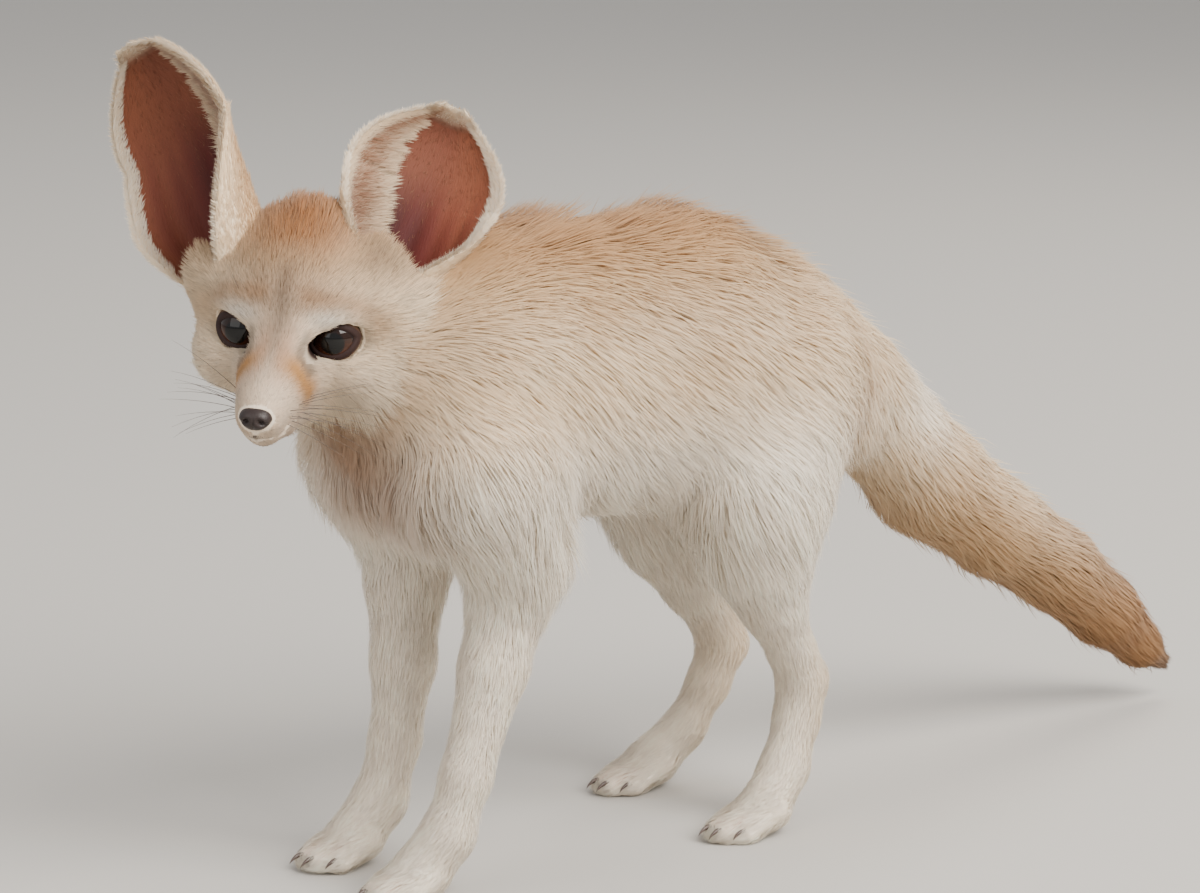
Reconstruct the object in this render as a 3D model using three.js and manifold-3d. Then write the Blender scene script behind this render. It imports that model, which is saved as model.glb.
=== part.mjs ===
// A fennec fox standing at life size, its head turned a little to its left.
// Units are millimetres. The fox faces -Y, its left side is +X, and it stands on the plane z = 0.
import * as THREE from 'three';
import { mergeVertices } from 'three/addons/utils/BufferGeometryUtils.js';
import Module from 'manifold-3d';

const wasm = await Module();
wasm.setup();

// Driving dimensions of the whole animal
const GAP = 0.3; // clear space kept between neighbouring pieces
const BACK_HEIGHT = 204; // top of the coat over the middle of the back
const BARREL_RADIUS = 47; // half the depth of the furred body
const BARREL_NARROWING = 0.9; // the body is a little narrower than it is deep
const EYE_RADIUS = 7.6;
const EYE_SPACING = 28; // between the centres of the two eyes
const EAR_WALL = 2.2;
const SEED = 7; // the uneven lie of the locks is drawn from this

// Where the head sits: the point midway between the eyes, and how the head turns there
const HEAD_AT = [2.1, -130.7, 179];
const HEAD_YAW = 40.3;
const HEAD_PITCH = 9.8;
const HEAD_ROLL = 4.5;

// Joints of the skeleton, each with the radius of the furred limb there
const FORE_LEFT = {
  side: 1,
  shoulder: [27, -74, 132, 25],
  elbow: [23, -57, 104, 17],
  forearm: [20.5, -58.5, 92, 13.2],
  middle: [22.5, -66, 70, 10.6],
  wrist: [25.5, -79, 38, 7.8],
  pastern: [24, -85, 20, 8.2],
  ball: [20, -92, 9, 9.5],
};
const FORE_RIGHT = {
  side: -1,
  shoulder: [-27, -74, 132, 25],
  elbow: [-27, -60, 102, 16],
  forearm: [-26.5, -63, 88, 12.6],
  middle: [-25, -65, 63, 10.2],
  wrist: [-24, -69, 38, 8],
  pastern: [-24, -75, 19, 8.4],
  ball: [-24.5, -84, 9, 9.5],
};
const HIND_LEFT = {
  side: 1,
  hip: [17, 56, 146, 31],
  thigh: [26, 40, 112, 25],
  knee: [27, 42, 92, 17],
  shin: [27, 48, 75, 10.8],
  lowerShin: [25.5, 58, 58, 7.6],
  hock: [24, 64.5, 47, 8.2],
  metatarsus: [24.5, 62, 34, 7.4],
  pastern: [27.5, 54, 19, 7.8],
  ball: [31.5, 42, 8.5, 9],
};
const HIND_RIGHT = {
  side: -1,
  hip: [-17, 56, 146, 31],
  thigh: [-24, 42, 112, 25],
  knee: [-25, 46, 92, 17],
  shin: [-25, 59, 71, 10.4],
  lowerShin: [-26.5, 69, 58, 7.8],
  hock: [-27.5, 75, 48, 8.4],
  metatarsus: [-29, 70, 34, 7],
  pastern: [-32, 62, 19, 7],
  ball: [-35, 50, 8.5, 9],
};

// The four toes of a paw: place across the paw, reach in front of the ball, and radius
const FORE_TOES = [[-8.2, 12, 4.2], [-2.9, 17.5, 4.5], [2.9, 17.5, 4.5], [8.2, 12, 4.2]];
const HIND_TOES = [[-7.4, 14, 4], [-2.6, 20, 4.3], [2.6, 20, 4.3], [7.4, 14, 4]];
const TOE_FLAT = 1; // how much of each toe is pressed flat against the ground
const KNUCKLE_HEIGHT = 8;
const KNUCKLE_SPREAD = 0.75; // the toes stand this much closer at their knuckles than at their tips

// The tail, from its root to its tip, with the radius of the furred outline at each point
const TAIL_LINE = [
  [1.7, 106, 142, 17],
  [1.4, 126, 118, 18.5],
  [0, 144, 101, 20],
  [-3, 182, 78, 17],
  [-6, 217, 58, 15],
  [-8.5, 245, 38, 12.5],
  [-10, 266, 22, 8],
  [-10, 277, 15, 3],
];
const TAIL_CORE_SHARE = 0.45; // how far the solid core of the tail reaches out towards the tips
const TAIL_CORE_START = 0.16; // along the tail, where the core has shrunk to that share

// Ears, in the frame of the head: root, tip, where the cup faces, and the width of the blade
const EARS = {
  left: { side: 1, root: [23, 26, 10], tip: [36.3, 69, 58], faces: [0.25, -0.75, 0.6], width: 51 },
  right: { side: -1, root: [-23, 26, 10], tip: [-67, 44, 71], faces: [-0.5, -0.86, 0], width: 54 },
};
const EAR_ROOT_RADIUS = 15;
const EAR_ROOT_REACH = 4; // from the root to the plane where the ear meets the head

// Planes where the animal is parted into pieces, as a point and a direction
const HEAD_BACK = 34; // in the frame of the head
const HEAD_BOTTOM = -31.5;
const HEAD_HALF_WIDTH = 33;
const NECK_TORSO = { point: [-3, -80, 168], direction: [0.16, 0.9, -0.4] };
const TORSO_TAIL = { point: [1.6, 116, 130], direction: [-0.02, 0.77, -0.64] };
const ELBOW_HEIGHT = 94;
const HOCK_HEIGHT = 53;
const HIND_PAW_HEIGHT = 14.5;
const FORE_PAW_HEIGHT = 18;

// Vectors are plain arrays of three numbers
const add = (a, b) => [a[0] + b[0], a[1] + b[1], a[2] + b[2]];
const sub = (a, b) => [a[0] - b[0], a[1] - b[1], a[2] - b[2]];
const scale = (a, s) => [a[0] * s, a[1] * s, a[2] * s];
const dot = (a, b) => a[0] * b[0] + a[1] * b[1] + a[2] * b[2];
const unit = (a) => scale(a, 1 / Math.hypot(a[0], a[1], a[2]));
const mix = (a, b, t) => a + (b - a) * t;
const mixPoints = (a, b, t) => [mix(a[0], b[0], t), mix(a[1], b[1], t), mix(a[2], b[2], t)];
const cross = (a, b) => [
  a[1] * b[2] - a[2] * b[1],
  a[2] * b[0] - a[0] * b[2],
  a[0] * b[1] - a[1] * b[0],
];

// A repeatable stream of numbers between 0 and 1
function seededRandom(seed) {
  let state = seed;
  return () => {
    state = (state * 1664525 + 1013904223) % 4294967296;
    return state / 4294967296;
  };
}
const random = seededRandom(SEED);
const spread = (amount) => (random() * 2 - 1) * amount;

// The frame of the head: x to its left, y to its back, z to its crown
const headTurn = new THREE.Matrix4()
  .makeRotationZ(THREE.MathUtils.degToRad(HEAD_YAW))
  .multiply(new THREE.Matrix4().makeRotationX(THREE.MathUtils.degToRad(HEAD_PITCH)))
  .multiply(new THREE.Matrix4().makeRotationY(THREE.MathUtils.degToRad(HEAD_ROLL)));
const headAxes = [0, 1, 2].map((i) => new THREE.Vector3().setFromMatrixColumn(headTurn, i).toArray());
function headDirection(v) {
  return add(add(scale(headAxes[0], v[0]), scale(headAxes[1], v[1])), scale(headAxes[2], v[2]));
}
const headPoint = (v) => add(HEAD_AT, headDirection(v));

// How softly neighbouring forms run into each other
const TRUNK_FILLET = 16;
const BARREL_FILLET = 8;
const HEAD_FILLET = 9;
const FACE_FILLET = 7;
const LEG_FILLET = 10;
const JOINT_FILLET = 5;
const TOE_FILLET = 3;

// Distance fields: each takes x, y, z and returns a distance that is negative inside the shape

// A cone with round ends, from a to b, each given as x, y, z and radius
function limb(a, b) {
  const [ra, rb] = [a[3], b[3]];
  const along = sub(b, a);
  const square = dot(along, along);
  const taper = ra - rb;
  const slant = square - taper * taper;
  return (x, y, z) => {
    const px = x - a[0];
    const py = y - a[1];
    const pz = z - a[2];
    const t = px * along[0] + py * along[1] + pz * along[2];
    const past = t - square;
    const ox = px * square - along[0] * t;
    const oy = py * square - along[1] * t;
    const oz = pz * square - along[2] * t;
    const aside = ox * ox + oy * oy + oz * oz;
    const edge = Math.sign(taper) * taper * taper * aside;
    if (Math.sign(past) * slant * past * past * square > edge) {
      return Math.sqrt(aside + past * past * square) / square - rb;
    }
    if (Math.sign(t) * slant * t * t * square < edge) {
      return Math.sqrt(aside + t * t * square) / square - ra;
    }
    return (Math.sqrt((aside * slant) / square) + t * taper) / square - ra;
  };
}

// An egg with half sizes along the axes
function egg(centre, half) {
  return (x, y, z) => {
    const dx = (x - centre[0]) / half[0];
    const dy = (y - centre[1]) / half[1];
    const dz = (z - centre[2]) / half[2];
    const near = Math.hypot(dx, dy, dz);
    const slope = Math.hypot(dx / half[0], dy / half[1], dz / half[2]);
    return slope === 0 ? -Math.min(...half) : (near * (near - 1)) / slope;
  };
}

// The same field squeezed towards the plane x = 0
function narrowed(field, share) {
  return (x, y, z) => field(x / share, y, z) * share;
}

// Several fields joined with a soft fillet
function join(fields, softness) {
  return (x, y, z) => {
    let near = fields[0](x, y, z);
    for (let i = 1; i < fields.length; i += 1) {
      const other = fields[i](x, y, z);
      const overlap = Math.max(softness - Math.abs(near - other), 0) / softness;
      near = Math.min(near, other) - (overlap * overlap * softness) / 4;
    }
    return near;
  };
}

// Limbs strung from joint to joint
function chain(joints, softness) {
  const links = [];
  for (let i = 1; i < joints.length; i += 1) {
    links.push(limb(joints[i - 1], joints[i]));
  }
  return join(links, softness);
}

const SPINE_HEIGHT = BACK_HEIGHT - BARREL_RADIUS;
const barrel = narrowed(
  join(
    [
      limb([0, -48, SPINE_HEIGHT + 1, BARREL_RADIUS], [0, 22, SPINE_HEIGHT, BARREL_RADIUS]),
      limb([0, 22, SPINE_HEIGHT, BARREL_RADIUS], [0, 58, 150, 38]),
      limb([0, 58, 150, 38], [0, 84, 140, 27]),
      egg([0, -60, 149], [43, 44, 47]),
    ],
    BARREL_FILLET,
  ),
  BARREL_NARROWING,
);
const neckField = limb([0, -66, 163, 39], [-15, -104, 175, 26]);
const tailRoot = limb([0, 84, 144, 24], [1.7, 118, 128, 15]);

function foreLeg(leg) {
  const bones = [leg.shoulder, leg.elbow, leg.forearm, leg.middle, leg.wrist, leg.pastern, leg.ball];
  return join([chain(bones, JOINT_FILLET), ...toes(leg.ball, FORE_TOES)], TOE_FILLET);
}

function hindLeg(leg) {
  const upper = [leg.hip, leg.thigh, leg.knee, leg.shin, leg.lowerShin];
  const lower = [leg.hock, leg.metatarsus, leg.pastern, leg.ball];
  return join([chain([...upper, ...lower], JOINT_FILLET), ...toes(leg.ball, HIND_TOES)], TOE_FILLET);
}

// Toes rise from the ball of the paw to a knuckle and come down to the ground
function toes(ball, sizes) {
  return sizes.map(([across, reach, radius]) => {
    const root = [ball[0] + across * KNUCKLE_SPREAD, ball[1], KNUCKLE_HEIGHT, radius + 1];
    const tip = [ball[0] + across, ball[1] - reach, radius - TOE_FLAT, radius];
    return limb(root, tip);
  });
}

// The head, in its own frame, whose origin lies midway between the eyes
const CRANIUM = egg([0, 24, 5], [25.5, 27, 26]);
const FOREHEAD = egg([0, 13, 6], [20, 19, 17.5]);
const CROWN = egg([0, 31, 12], [20, 20, 22]);
const BROWS = [1, -1].map((side) => egg([side * 13, 7, 7], [10, 9, 7]));
const CHEEKS = [1, -1].map((side) => egg([side * 17, 15, -11], [15, 17, 13]));
const MUZZLE = limb([0, -2, -9, 14], [0, -30, -14.5, 6.6]);
const NOSE_BRIDGE = limb([0, 2, -1, 10], [0, -32, -12.5, 4.6]);
const JAW = limb([0, 8, -19, 12], [0, -25, -21, 4.6]);
const EAR_ROOTS = [EARS.left, EARS.right].map((ear) => {
  const axis = unit(sub(ear.tip, ear.root));
  const inner = [...sub(ear.root, scale(axis, 6)), EAR_ROOT_RADIUS + 1.5];
  return limb(inner, [...add(ear.root, scale(axis, 7)), EAR_ROOT_RADIUS]);
});
const skull = [CRANIUM, CROWN, FOREHEAD, ...BROWS, ...CHEEKS];
const headShape = join([...skull, MUZZLE, NOSE_BRIDGE, JAW, ...EAR_ROOTS], FACE_FILLET);
function headField(x, y, z) {
  const from = [x - HEAD_AT[0], y - HEAD_AT[1], z - HEAD_AT[2]];
  return headShape(dot(from, headAxes[0]), dot(from, headAxes[1]), dot(from, headAxes[2]));
}

const legFields = [foreLeg(FORE_LEFT), foreLeg(FORE_RIGHT), hindLeg(HIND_LEFT), hindLeg(HIND_RIGHT)];
const trunk = join([barrel, neckField, tailRoot], TRUNK_FILLET);
const body = join([join([trunk, headField], HEAD_FILLET), ...legFields], LEG_FILLET);

// The outward direction of a field at a point
function outward(field, p) {
  const h = 0.2;
  return unit([
    field(p[0] + h, p[1], p[2]) - field(p[0] - h, p[1], p[2]),
    field(p[0], p[1] + h, p[2]) - field(p[0], p[1] - h, p[2]),
    field(p[0], p[1], p[2] + h) - field(p[0], p[1], p[2] - h),
  ]);
}

// The nearest point of the field's surface
function settle(field, p, rounds = 3) {
  let at = p;
  for (let i = 0; i < rounds; i += 1) {
    at = sub(at, scale(outward(field, at), field(at[0], at[1], at[2])));
  }
  return at;
}

// A closed triangle surface of a field inside a box: one corner for each grid cell that the
// surface crosses, and one four-sided face for each grid edge that it crosses
function surfaceOf(field, low, high, cell) {
  const count = [0, 1, 2].map((i) => Math.ceil((high[i] - low[i]) / cell) + 1);
  const [nx, ny, nz] = count;
  const at = (i, j, k) => (k * ny + j) * nx + i;
  const values = new Float64Array(nx * ny * nz);
  const isRim = (i, j, k) => i === 0 || j === 0 || k === 0 || i === nx - 1 || j === ny - 1 || k === nz - 1;
  for (let k = 0; k < nz; k += 1) {
    for (let j = 0; j < ny; j += 1) {
      for (let i = 0; i < nx; i += 1) {
        const inside = field(low[0] + i * cell, low[1] + j * cell, low[2] + k * cell);
        values[at(i, j, k)] = isRim(i, j, k) ? Math.max(inside, cell / 2) : inside;
      }
    }
  }
  const corners = [];
  const cornerOf = new Int32Array(nx * ny * nz).fill(-1);
  const steps = [[1, 0, 0], [0, 1, 0], [0, 0, 1]];
  for (let k = 0; k < nz - 1; k += 1) {
    for (let j = 0; j < ny - 1; j += 1) {
      for (let i = 0; i < nx - 1; i += 1) {
        const sum = [0, 0, 0];
        let crossings = 0;
        for (let bits = 0; bits < 8; bits += 1) {
          const start = [bits & 1, (bits >> 1) & 1, (bits >> 2) & 1];
          for (const step of steps) {
            const end = add(start, step);
            if (Math.max(...end) > 1) continue;
            const a = values[at(i + start[0], j + start[1], k + start[2])];
            const b = values[at(i + end[0], j + end[1], k + end[2])];
            if (a < 0 === b < 0) continue;
            const t = a / (a - b);
            sum[0] += start[0] + step[0] * t;
            sum[1] += start[1] + step[1] * t;
            sum[2] += start[2] + step[2] * t;
            crossings += 1;
          }
        }
        if (crossings === 0) continue;
        const local = scale(sum, 1 / crossings);
        const place = add(low, scale(add([i, j, k], local), cell));
        const rim = i === 0 || j === 0 || k === 0 || i === nx - 2 || j === ny - 2 || k === nz - 2;
        const better = rim ? place : settle(field, place, 2);
        const moved = Math.hypot(...sub(better, place));
        cornerOf[at(i, j, k)] = corners.length;
        corners.push(moved < cell * 0.45 ? better : place);
      }
    }
  }
  const triangles = [];
  const distance = (a, b) => Math.hypot(...sub(corners[a], corners[b]));
  const face = (a, b, c, d, turned) => {
    const ring = turned ? [a, d, c, b] : [a, b, c, d];
    if (distance(ring[0], ring[2]) < distance(ring[1], ring[3])) {
      triangles.push(ring[0], ring[1], ring[2], ring[0], ring[2], ring[3]);
    } else {
      triangles.push(ring[1], ring[2], ring[3], ring[1], ring[3], ring[0]);
    }
  };
  for (let k = 0; k < nz - 1; k += 1) {
    for (let j = 0; j < ny - 1; j += 1) {
      for (let i = 0; i < nx - 1; i += 1) {
        const here = values[at(i, j, k)] < 0;
        const corner = (a, b, c) => cornerOf[at(i - a, j - b, k - c)];
        if (j > 0 && k > 0 && here !== values[at(i + 1, j, k)] < 0) {
          face(corner(0, 1, 1), corner(0, 0, 1), corner(0, 0, 0), corner(0, 1, 0), !here);
        }
        if (i > 0 && k > 0 && here !== values[at(i, j + 1, k)] < 0) {
          face(corner(1, 0, 1), corner(1, 0, 0), corner(0, 0, 0), corner(0, 0, 1), !here);
        }
        if (i > 0 && j > 0 && here !== values[at(i, j, k + 1)] < 0) {
          face(corner(1, 1, 0), corner(0, 1, 0), corner(0, 0, 0), corner(1, 0, 0), !here);
        }
      }
    }
  }
  return meshOf(corners, triangles);
}

function meshOf(corners, triangles) {
  const geometry = new THREE.BufferGeometry();
  geometry.setAttribute('position', new THREE.Float32BufferAttribute(corners.flat(), 3));
  geometry.setIndex(triangles);
  return geometry;
}

// From a closed mesh to a solid that can be joined and cut, and back. Faces that point inwards
// are turned round.
function solidOf(geometry) {
  const shared = geometry.clone();
  shared.deleteAttribute('normal');
  shared.deleteAttribute('uv');
  const merged = mergeVertices(shared, 1e-4);
  const vertProperties = new Float32Array(merged.getAttribute('position').array);
  const triVerts = new Uint32Array(merged.getIndex().array);
  const solid = new wasm.Manifold(new wasm.Mesh({ numProp: 3, vertProperties, triVerts }));
  if (solid.volume() > 0) return solid;
  return new wasm.Manifold(new wasm.Mesh({ numProp: 3, vertProperties, triVerts: triVerts.reverse() }));
}

function geometryOf(solid) {
  const { vertProperties, triVerts } = solid.getMesh();
  const geometry = new THREE.BufferGeometry();
  geometry.setAttribute('position', new THREE.BufferAttribute(new Float32Array(vertProperties), 3));
  geometry.setIndex(new THREE.BufferAttribute(new Uint32Array(triVerts), 1));
  geometry.computeVertexNormals();
  return geometry;
}

// A solid without the slivers that cutting leaves: the ends of a very short edge are drawn
// together wherever the surface stays closed and simple
const SHORTEST_EDGE = 0.03;
function withoutSlivers(solid) {
  const { vertProperties, triVerts } = solid.getMesh();
  const place = (i) => [vertProperties[3 * i], vertProperties[3 * i + 1], vertProperties[3 * i + 2]];
  const count = vertProperties.length / 3;
  const standsFor = Array.from({ length: count }, (_, i) => i);
  const find = (i) => (standsFor[i] === i ? i : find(standsFor[i]));
  const beside = Array.from({ length: count }, () => new Set());
  const edges = [];
  for (let i = 0; i < triVerts.length; i += 1) {
    const a = triVerts[i];
    const b = triVerts[i % 3 === 2 ? i - 2 : i + 1];
    beside[a].add(b);
    beside[b].add(a);
    if (a < b && Math.hypot(...sub(place(a), place(b))) < SHORTEST_EDGE) edges.push([a, b]);
  }
  for (const [a, b] of edges) {
    const from = find(a);
    const to = find(b);
    if (from === to || !beside[from].has(to)) continue;
    const shared = [...beside[from]].filter((other) => beside[to].has(other));
    if (shared.length !== 2 || shared.some((other) => beside[other].size <= 3)) continue;
    standsFor[from] = to;
    beside[to].delete(from);
    for (const other of beside[from]) {
      if (other === to) continue;
      beside[other].delete(from);
      beside[other].add(to);
      beside[to].add(other);
    }
  }
  const corners = [];
  const cornerOf = new Map();
  const triangles = [];
  for (let i = 0; i < triVerts.length; i += 3) {
    const face = [find(triVerts[i]), find(triVerts[i + 1]), find(triVerts[i + 2])];
    if (new Set(face).size < 3) continue;
    for (const index of face) {
      if (!cornerOf.has(index)) {
        cornerOf.set(index, corners.length);
        corners.push(place(index));
      }
      triangles.push(cornerOf.get(index));
    }
  }
  return solidOf(meshOf(corners, triangles));
}

// A node keeps only its largest closed surface
function largest(solid) {
  const pieces = solid.decompose();
  pieces.sort((a, b) => b.volume() - a.volume());
  return pieces[0];
}

// Everything on the far side of a plane, as a solid to cut with
function farSide(point, direction) {
  const size = 700;
  const box = new THREE.BoxGeometry(size, size, size);
  const out = unit(direction);
  const standing = new THREE.Vector3(0, 0, 1);
  box.applyQuaternion(new THREE.Quaternion().setFromUnitVectors(standing, new THREE.Vector3(...out)));
  const centre = add(point, scale(out, size / 2));
  box.translate(centre[0], centre[1], centre[2]);
  return solidOf(box);
}

// Cuts a solid at a plane and stays half a gap short of it
function trimmed(solid, point, direction) {
  const out = unit(direction);
  return solid.subtract(farSide(sub(point, scale(out, GAP / 2)), out));
}

// The room of the head: all that lies between its cheeks, in front of its back and above the throat
function headRoom(grow) {
  const size = 400;
  const box = new THREE.BoxGeometry(2 * (HEAD_HALF_WIDTH + grow), size, size);
  box.translate(0, HEAD_BACK + grow - size / 2, HEAD_BOTTOM - grow + size / 2);
  box.applyMatrix4(headTurn.clone().setPosition(...HEAD_AT));
  return solidOf(box);
}
const reversed = (direction) => scale(direction, -1);
const UP = [0, 0, 1];
const DOWN = [0, 0, -1];

// Ears: an open cup, from a narrow funnel at the head to a broad rounded blade.
// along is 0 at the root and 1 at the tip, across is 1 at the front margin and -1 at the rear one.
const EAR_STALK_RADIUS = 19;
const EAR_BLADE_SET_IN = 2; // the blade starts this far inside the stalk
const EAR_STATIONS = 11;
const EAR_COLUMNS = 8;

function earFrame(ear) {
  const axis = unit(sub(ear.tip, ear.root));
  const face = unit(sub(ear.faces, scale(axis, dot(ear.faces, axis))));
  return { axis, face, lateral: scale(cross(axis, face), -ear.side) };
}

// The blade is rounded off from here to its tip
const EAR_ROUNDED_FROM = 0.6;

// Half the width of the blade, and how far its cross-section wraps round, in degrees
const earBulge = (t) => Math.sin(Math.PI * Math.min(1, Math.max(0, t) * 0.88) ** 1.1);
const earHalfWidth = (t) => 0.5 * (0.54 + 0.46 * earBulge(t));
const earWrap = (t) => mix(150, 62, Math.min(1, t * 1.8)) - 14 * t;

function earSurface(ear, along, across, depth) {
  const { axis, face, lateral } = earFrame(ear);
  const past = Math.max(0, along - EAR_ROUNDED_FROM) / (1 - EAR_ROUNDED_FROM);
  const taper = Math.sqrt(Math.max(0, 1 - past * past));
  const wrap = THREE.MathUtils.degToRad(earWrap(along));
  const half = Math.max(0.4, ear.width * earHalfWidth(along) * taper);
  const radius = half / Math.sin(Math.min(wrap, Math.PI / 2));
  const angle = wrap * across;
  const reach = radius - depth;
  const length = Math.hypot(...sub(ear.tip, ear.root));
  const forward = Math.max(0, radius - ear.width * earHalfWidth(0)) * 0.8;
  const sideways = scale(lateral, reach * Math.sin(angle));
  const backwards = scale(face, forward - reach * Math.cos(angle));
  return headPoint(add(add(ear.root, scale(axis, along * length)), add(sideways, backwards)));
}

function earShell(ear, grow) {
  const corners = [];
  const triangles = [];
  const columns = EAR_COLUMNS + 1;
  const tipEdge = 0.996;
  for (const layer of [0, 1]) {
    for (let i = 0; i <= EAR_STATIONS; i += 1) {
      const along = (tipEdge * i) / EAR_STATIONS;
      for (let j = 0; j < columns; j += 1) {
        const across = -1 + (2 * j) / EAR_COLUMNS;
        const depth = layer === 0 ? -grow : EAR_WALL + grow;
        corners.push(earSurface(ear, along, across, depth));
      }
    }
  }
  const layerSize = (EAR_STATIONS + 1) * columns;
  const at = (layer, i, j) => layer * layerSize + i * columns + j;
  const quad = (a, b, c, d) => triangles.push(a, b, c, a, c, d);
  for (let i = 0; i < EAR_STATIONS; i += 1) {
    for (let j = 0; j < EAR_COLUMNS; j += 1) {
      quad(at(0, i, j), at(0, i + 1, j), at(0, i + 1, j + 1), at(0, i, j + 1));
      quad(at(1, i, j), at(1, i, j + 1), at(1, i + 1, j + 1), at(1, i + 1, j));
    }
    quad(at(0, i, 0), at(1, i, 0), at(1, i + 1, 0), at(0, i + 1, 0));
    quad(at(0, i, EAR_COLUMNS), at(0, i + 1, EAR_COLUMNS), at(1, i + 1, EAR_COLUMNS), at(1, i, EAR_COLUMNS));
  }
  for (let j = 0; j < EAR_COLUMNS; j += 1) {
    quad(at(0, 0, j), at(0, 0, j + 1), at(1, 0, j + 1), at(1, 0, j));
    const top = EAR_STATIONS;
    quad(at(0, top, j), at(1, top, j), at(1, top, j + 1), at(0, top, j + 1));
  }
  return solidOf(meshOf(corners, triangles));
}

// The short round stalk of an ear, beyond the plane where it meets the head
const EAR_STALK_LENGTH = 26;
const EAR_STALK_SIDES = 18;
function earStalk(ear, grow) {
  const { axis } = earFrame(ear);
  const radius = EAR_STALK_RADIUS + grow;
  const stalk = new THREE.CylinderGeometry(radius, radius, EAR_STALK_LENGTH + 2 * grow, EAR_STALK_SIDES);
  stalk.translate(0, EAR_ROOT_REACH + EAR_STALK_LENGTH / 2, 0);
  const standing = new THREE.Vector3(0, 1, 0);
  stalk.applyQuaternion(new THREE.Quaternion().setFromUnitVectors(standing, new THREE.Vector3(...axis)));
  stalk.translate(ear.root[0], ear.root[1], ear.root[2]);
  stalk.applyMatrix4(headTurn.clone().setPosition(...HEAD_AT));
  return solidOf(stalk);
}

// The canal that leads from the open cup down into the stalk, as distances along the ear,
// radii, and how far each ring stands towards the open side
const CANAL = [[7, 4.5, 0], [14, 8, 1], [24, 10.5, 3], [38, 11.5, 5]];
function earCanal(ear) {
  const { axis, face, lateral } = earFrame(ear);
  const sides = 12;
  const rings = CANAL.map(([along, radius, forward]) => {
    const centre = add(ear.root, add(scale(axis, along), scale(face, forward)));
    const ring = [];
    for (let j = 0; j < sides; j += 1) {
      const angle = (2 * Math.PI * j) / sides;
      const place = add(scale(face, radius * Math.cos(angle)), scale(lateral, radius * Math.sin(angle)));
      ring.push(headPoint(add(centre, place)));
    }
    return ring;
  });
  return solidOf(loft(rings));
}

// Eyes and the parts of the face
const EYE_DEPTH = 5.2;
const eyeCentre = (side) => headPoint([(side * EYE_SPACING) / 2, EYE_DEPTH, 0]);

const EYE_SIDES = 14;
function ball(centre, radius) {
  const shape = new THREE.SphereGeometry(radius, EYE_SIDES, EYE_SIDES / 2);
  shape.translate(centre[0], centre[1], centre[2]);
  return solidOf(shape);
}

// A flat tube through stations, each with its own half sizes: four-sided, or three-sided with a
// flat underside where it is a lock of hair
function strand(stations, underside = true) {
  const sides = underside ? 4 : 3;
  const corners = [];
  const triangles = [];
  for (const { at, wide, thick, side, out } of stations) {
    corners.push(add(at, scale(side, wide)));
    corners.push(add(at, scale(out, thick)));
    corners.push(sub(at, scale(side, wide)));
    if (underside) corners.push(sub(at, scale(out, thick)));
  }
  const rings = stations.length;
  for (let i = 0; i + 1 < rings; i += 1) {
    for (let j = 0; j < sides; j += 1) {
      const a = i * sides + j;
      const b = i * sides + ((j + 1) % sides);
      triangles.push(a, b, b + sides, a, b + sides, a + sides);
    }
  }
  const last = (rings - 1) * sides;
  triangles.push(0, 2, 1);
  triangles.push(last, last + 1, last + 2);
  if (underside) {
    triangles.push(0, 3, 2);
    triangles.push(last, last + 2, last + 3);
  }
  return meshOf(corners, triangles);
}

// Locks of long hair. A lock leaves the skin well inside the coat, follows the surface along the
// lie of the hair and comes free of it towards its pointed tip.
// Each step: share of the length, of the half width, of the half thickness, and of the lift
const LOCK_STEPS = [[0, 0.5, 1, 0], [0.3, 1, 1, 0.45], [0.68, 0.8, 0.8, 0.78], [1, 0.05, 0.3, 1]];
const LOCK_THICKNESS = 2.2;
const LOCK_SINK = 4.5;
const EDGE_ROOM = 5; // the thin edges and the ridge of a lock need this much more room than its
const RIDGE_ROOM = 2.5; // flat underside, so that a cut for it stays clear of its faces
function lockStations({ root, lie, length, wide, lift }, grow) {
  const stations = [];
  let at = settle(body, root);
  let heading = unit(lie);
  LOCK_STEPS.forEach(([share, width, thickness, rise], index) => {
    const out = outward(body, at);
    const forward = unit(sub(heading, scale(out, dot(heading, out))));
    stations.push({
      at: add(at, scale(out, mix(-LOCK_SINK, lift, rise) - grow)),
      wide: wide * width + EDGE_ROOM * grow,
      thick: LOCK_THICKNESS * thickness + RIDGE_ROOM * grow,
      side: cross(out, forward),
      out,
    });
    const next = LOCK_STEPS[index + 1];
    if (next) at = settle(body, add(at, scale(forward, length * (next[0] - share))));
    heading = forward;
  });
  const tip = stations[stations.length - 1];
  tip.at = add(tip.at, scale(heading, grow));
  return stations;
}
const lockSolid = (lock, grow) => solidOf(strand(lockStations(lock, grow), false));
const withLocks = (solid, locks) => locks.reduce((sum, lock) => sum.add(lockSolid(lock, 0)), solid);
const clearOf = (solid, locks) => locks.reduce((rest, lock) => rest.subtract(lockSolid(lock, GAP)), solid);

// A patch of locks in rows, every second row moved half a step: from and to are the ends of the
// first row, down leads to the last row, and lie is the way the hair is combed
function patch({ from, to, down, rows, columns, lie, length, wide, lift }) {
  const locks = [];
  for (let row = 0; row < rows; row += 1) {
    const share = rows > 1 ? row / (rows - 1) : 0;
    for (let column = 0; column < columns; column += 1) {
      const along = (column + 0.5 + (row % 2 ? 0.25 : -0.25)) / columns;
      const place = add(mixPoints(from, to, along), scale(down, share));
      const root = add(place, [spread(1.5), spread(1.5), spread(1.5)]);
      const bend = [spread(0.12), spread(0.12), spread(0.12)];
      const size = 1 + spread(0.12);
      locks.push({ root, lie: add(unit(lie), bend), length: length * size, wide, lift: lift * size });
    }
  }
  return locks;
}

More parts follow.
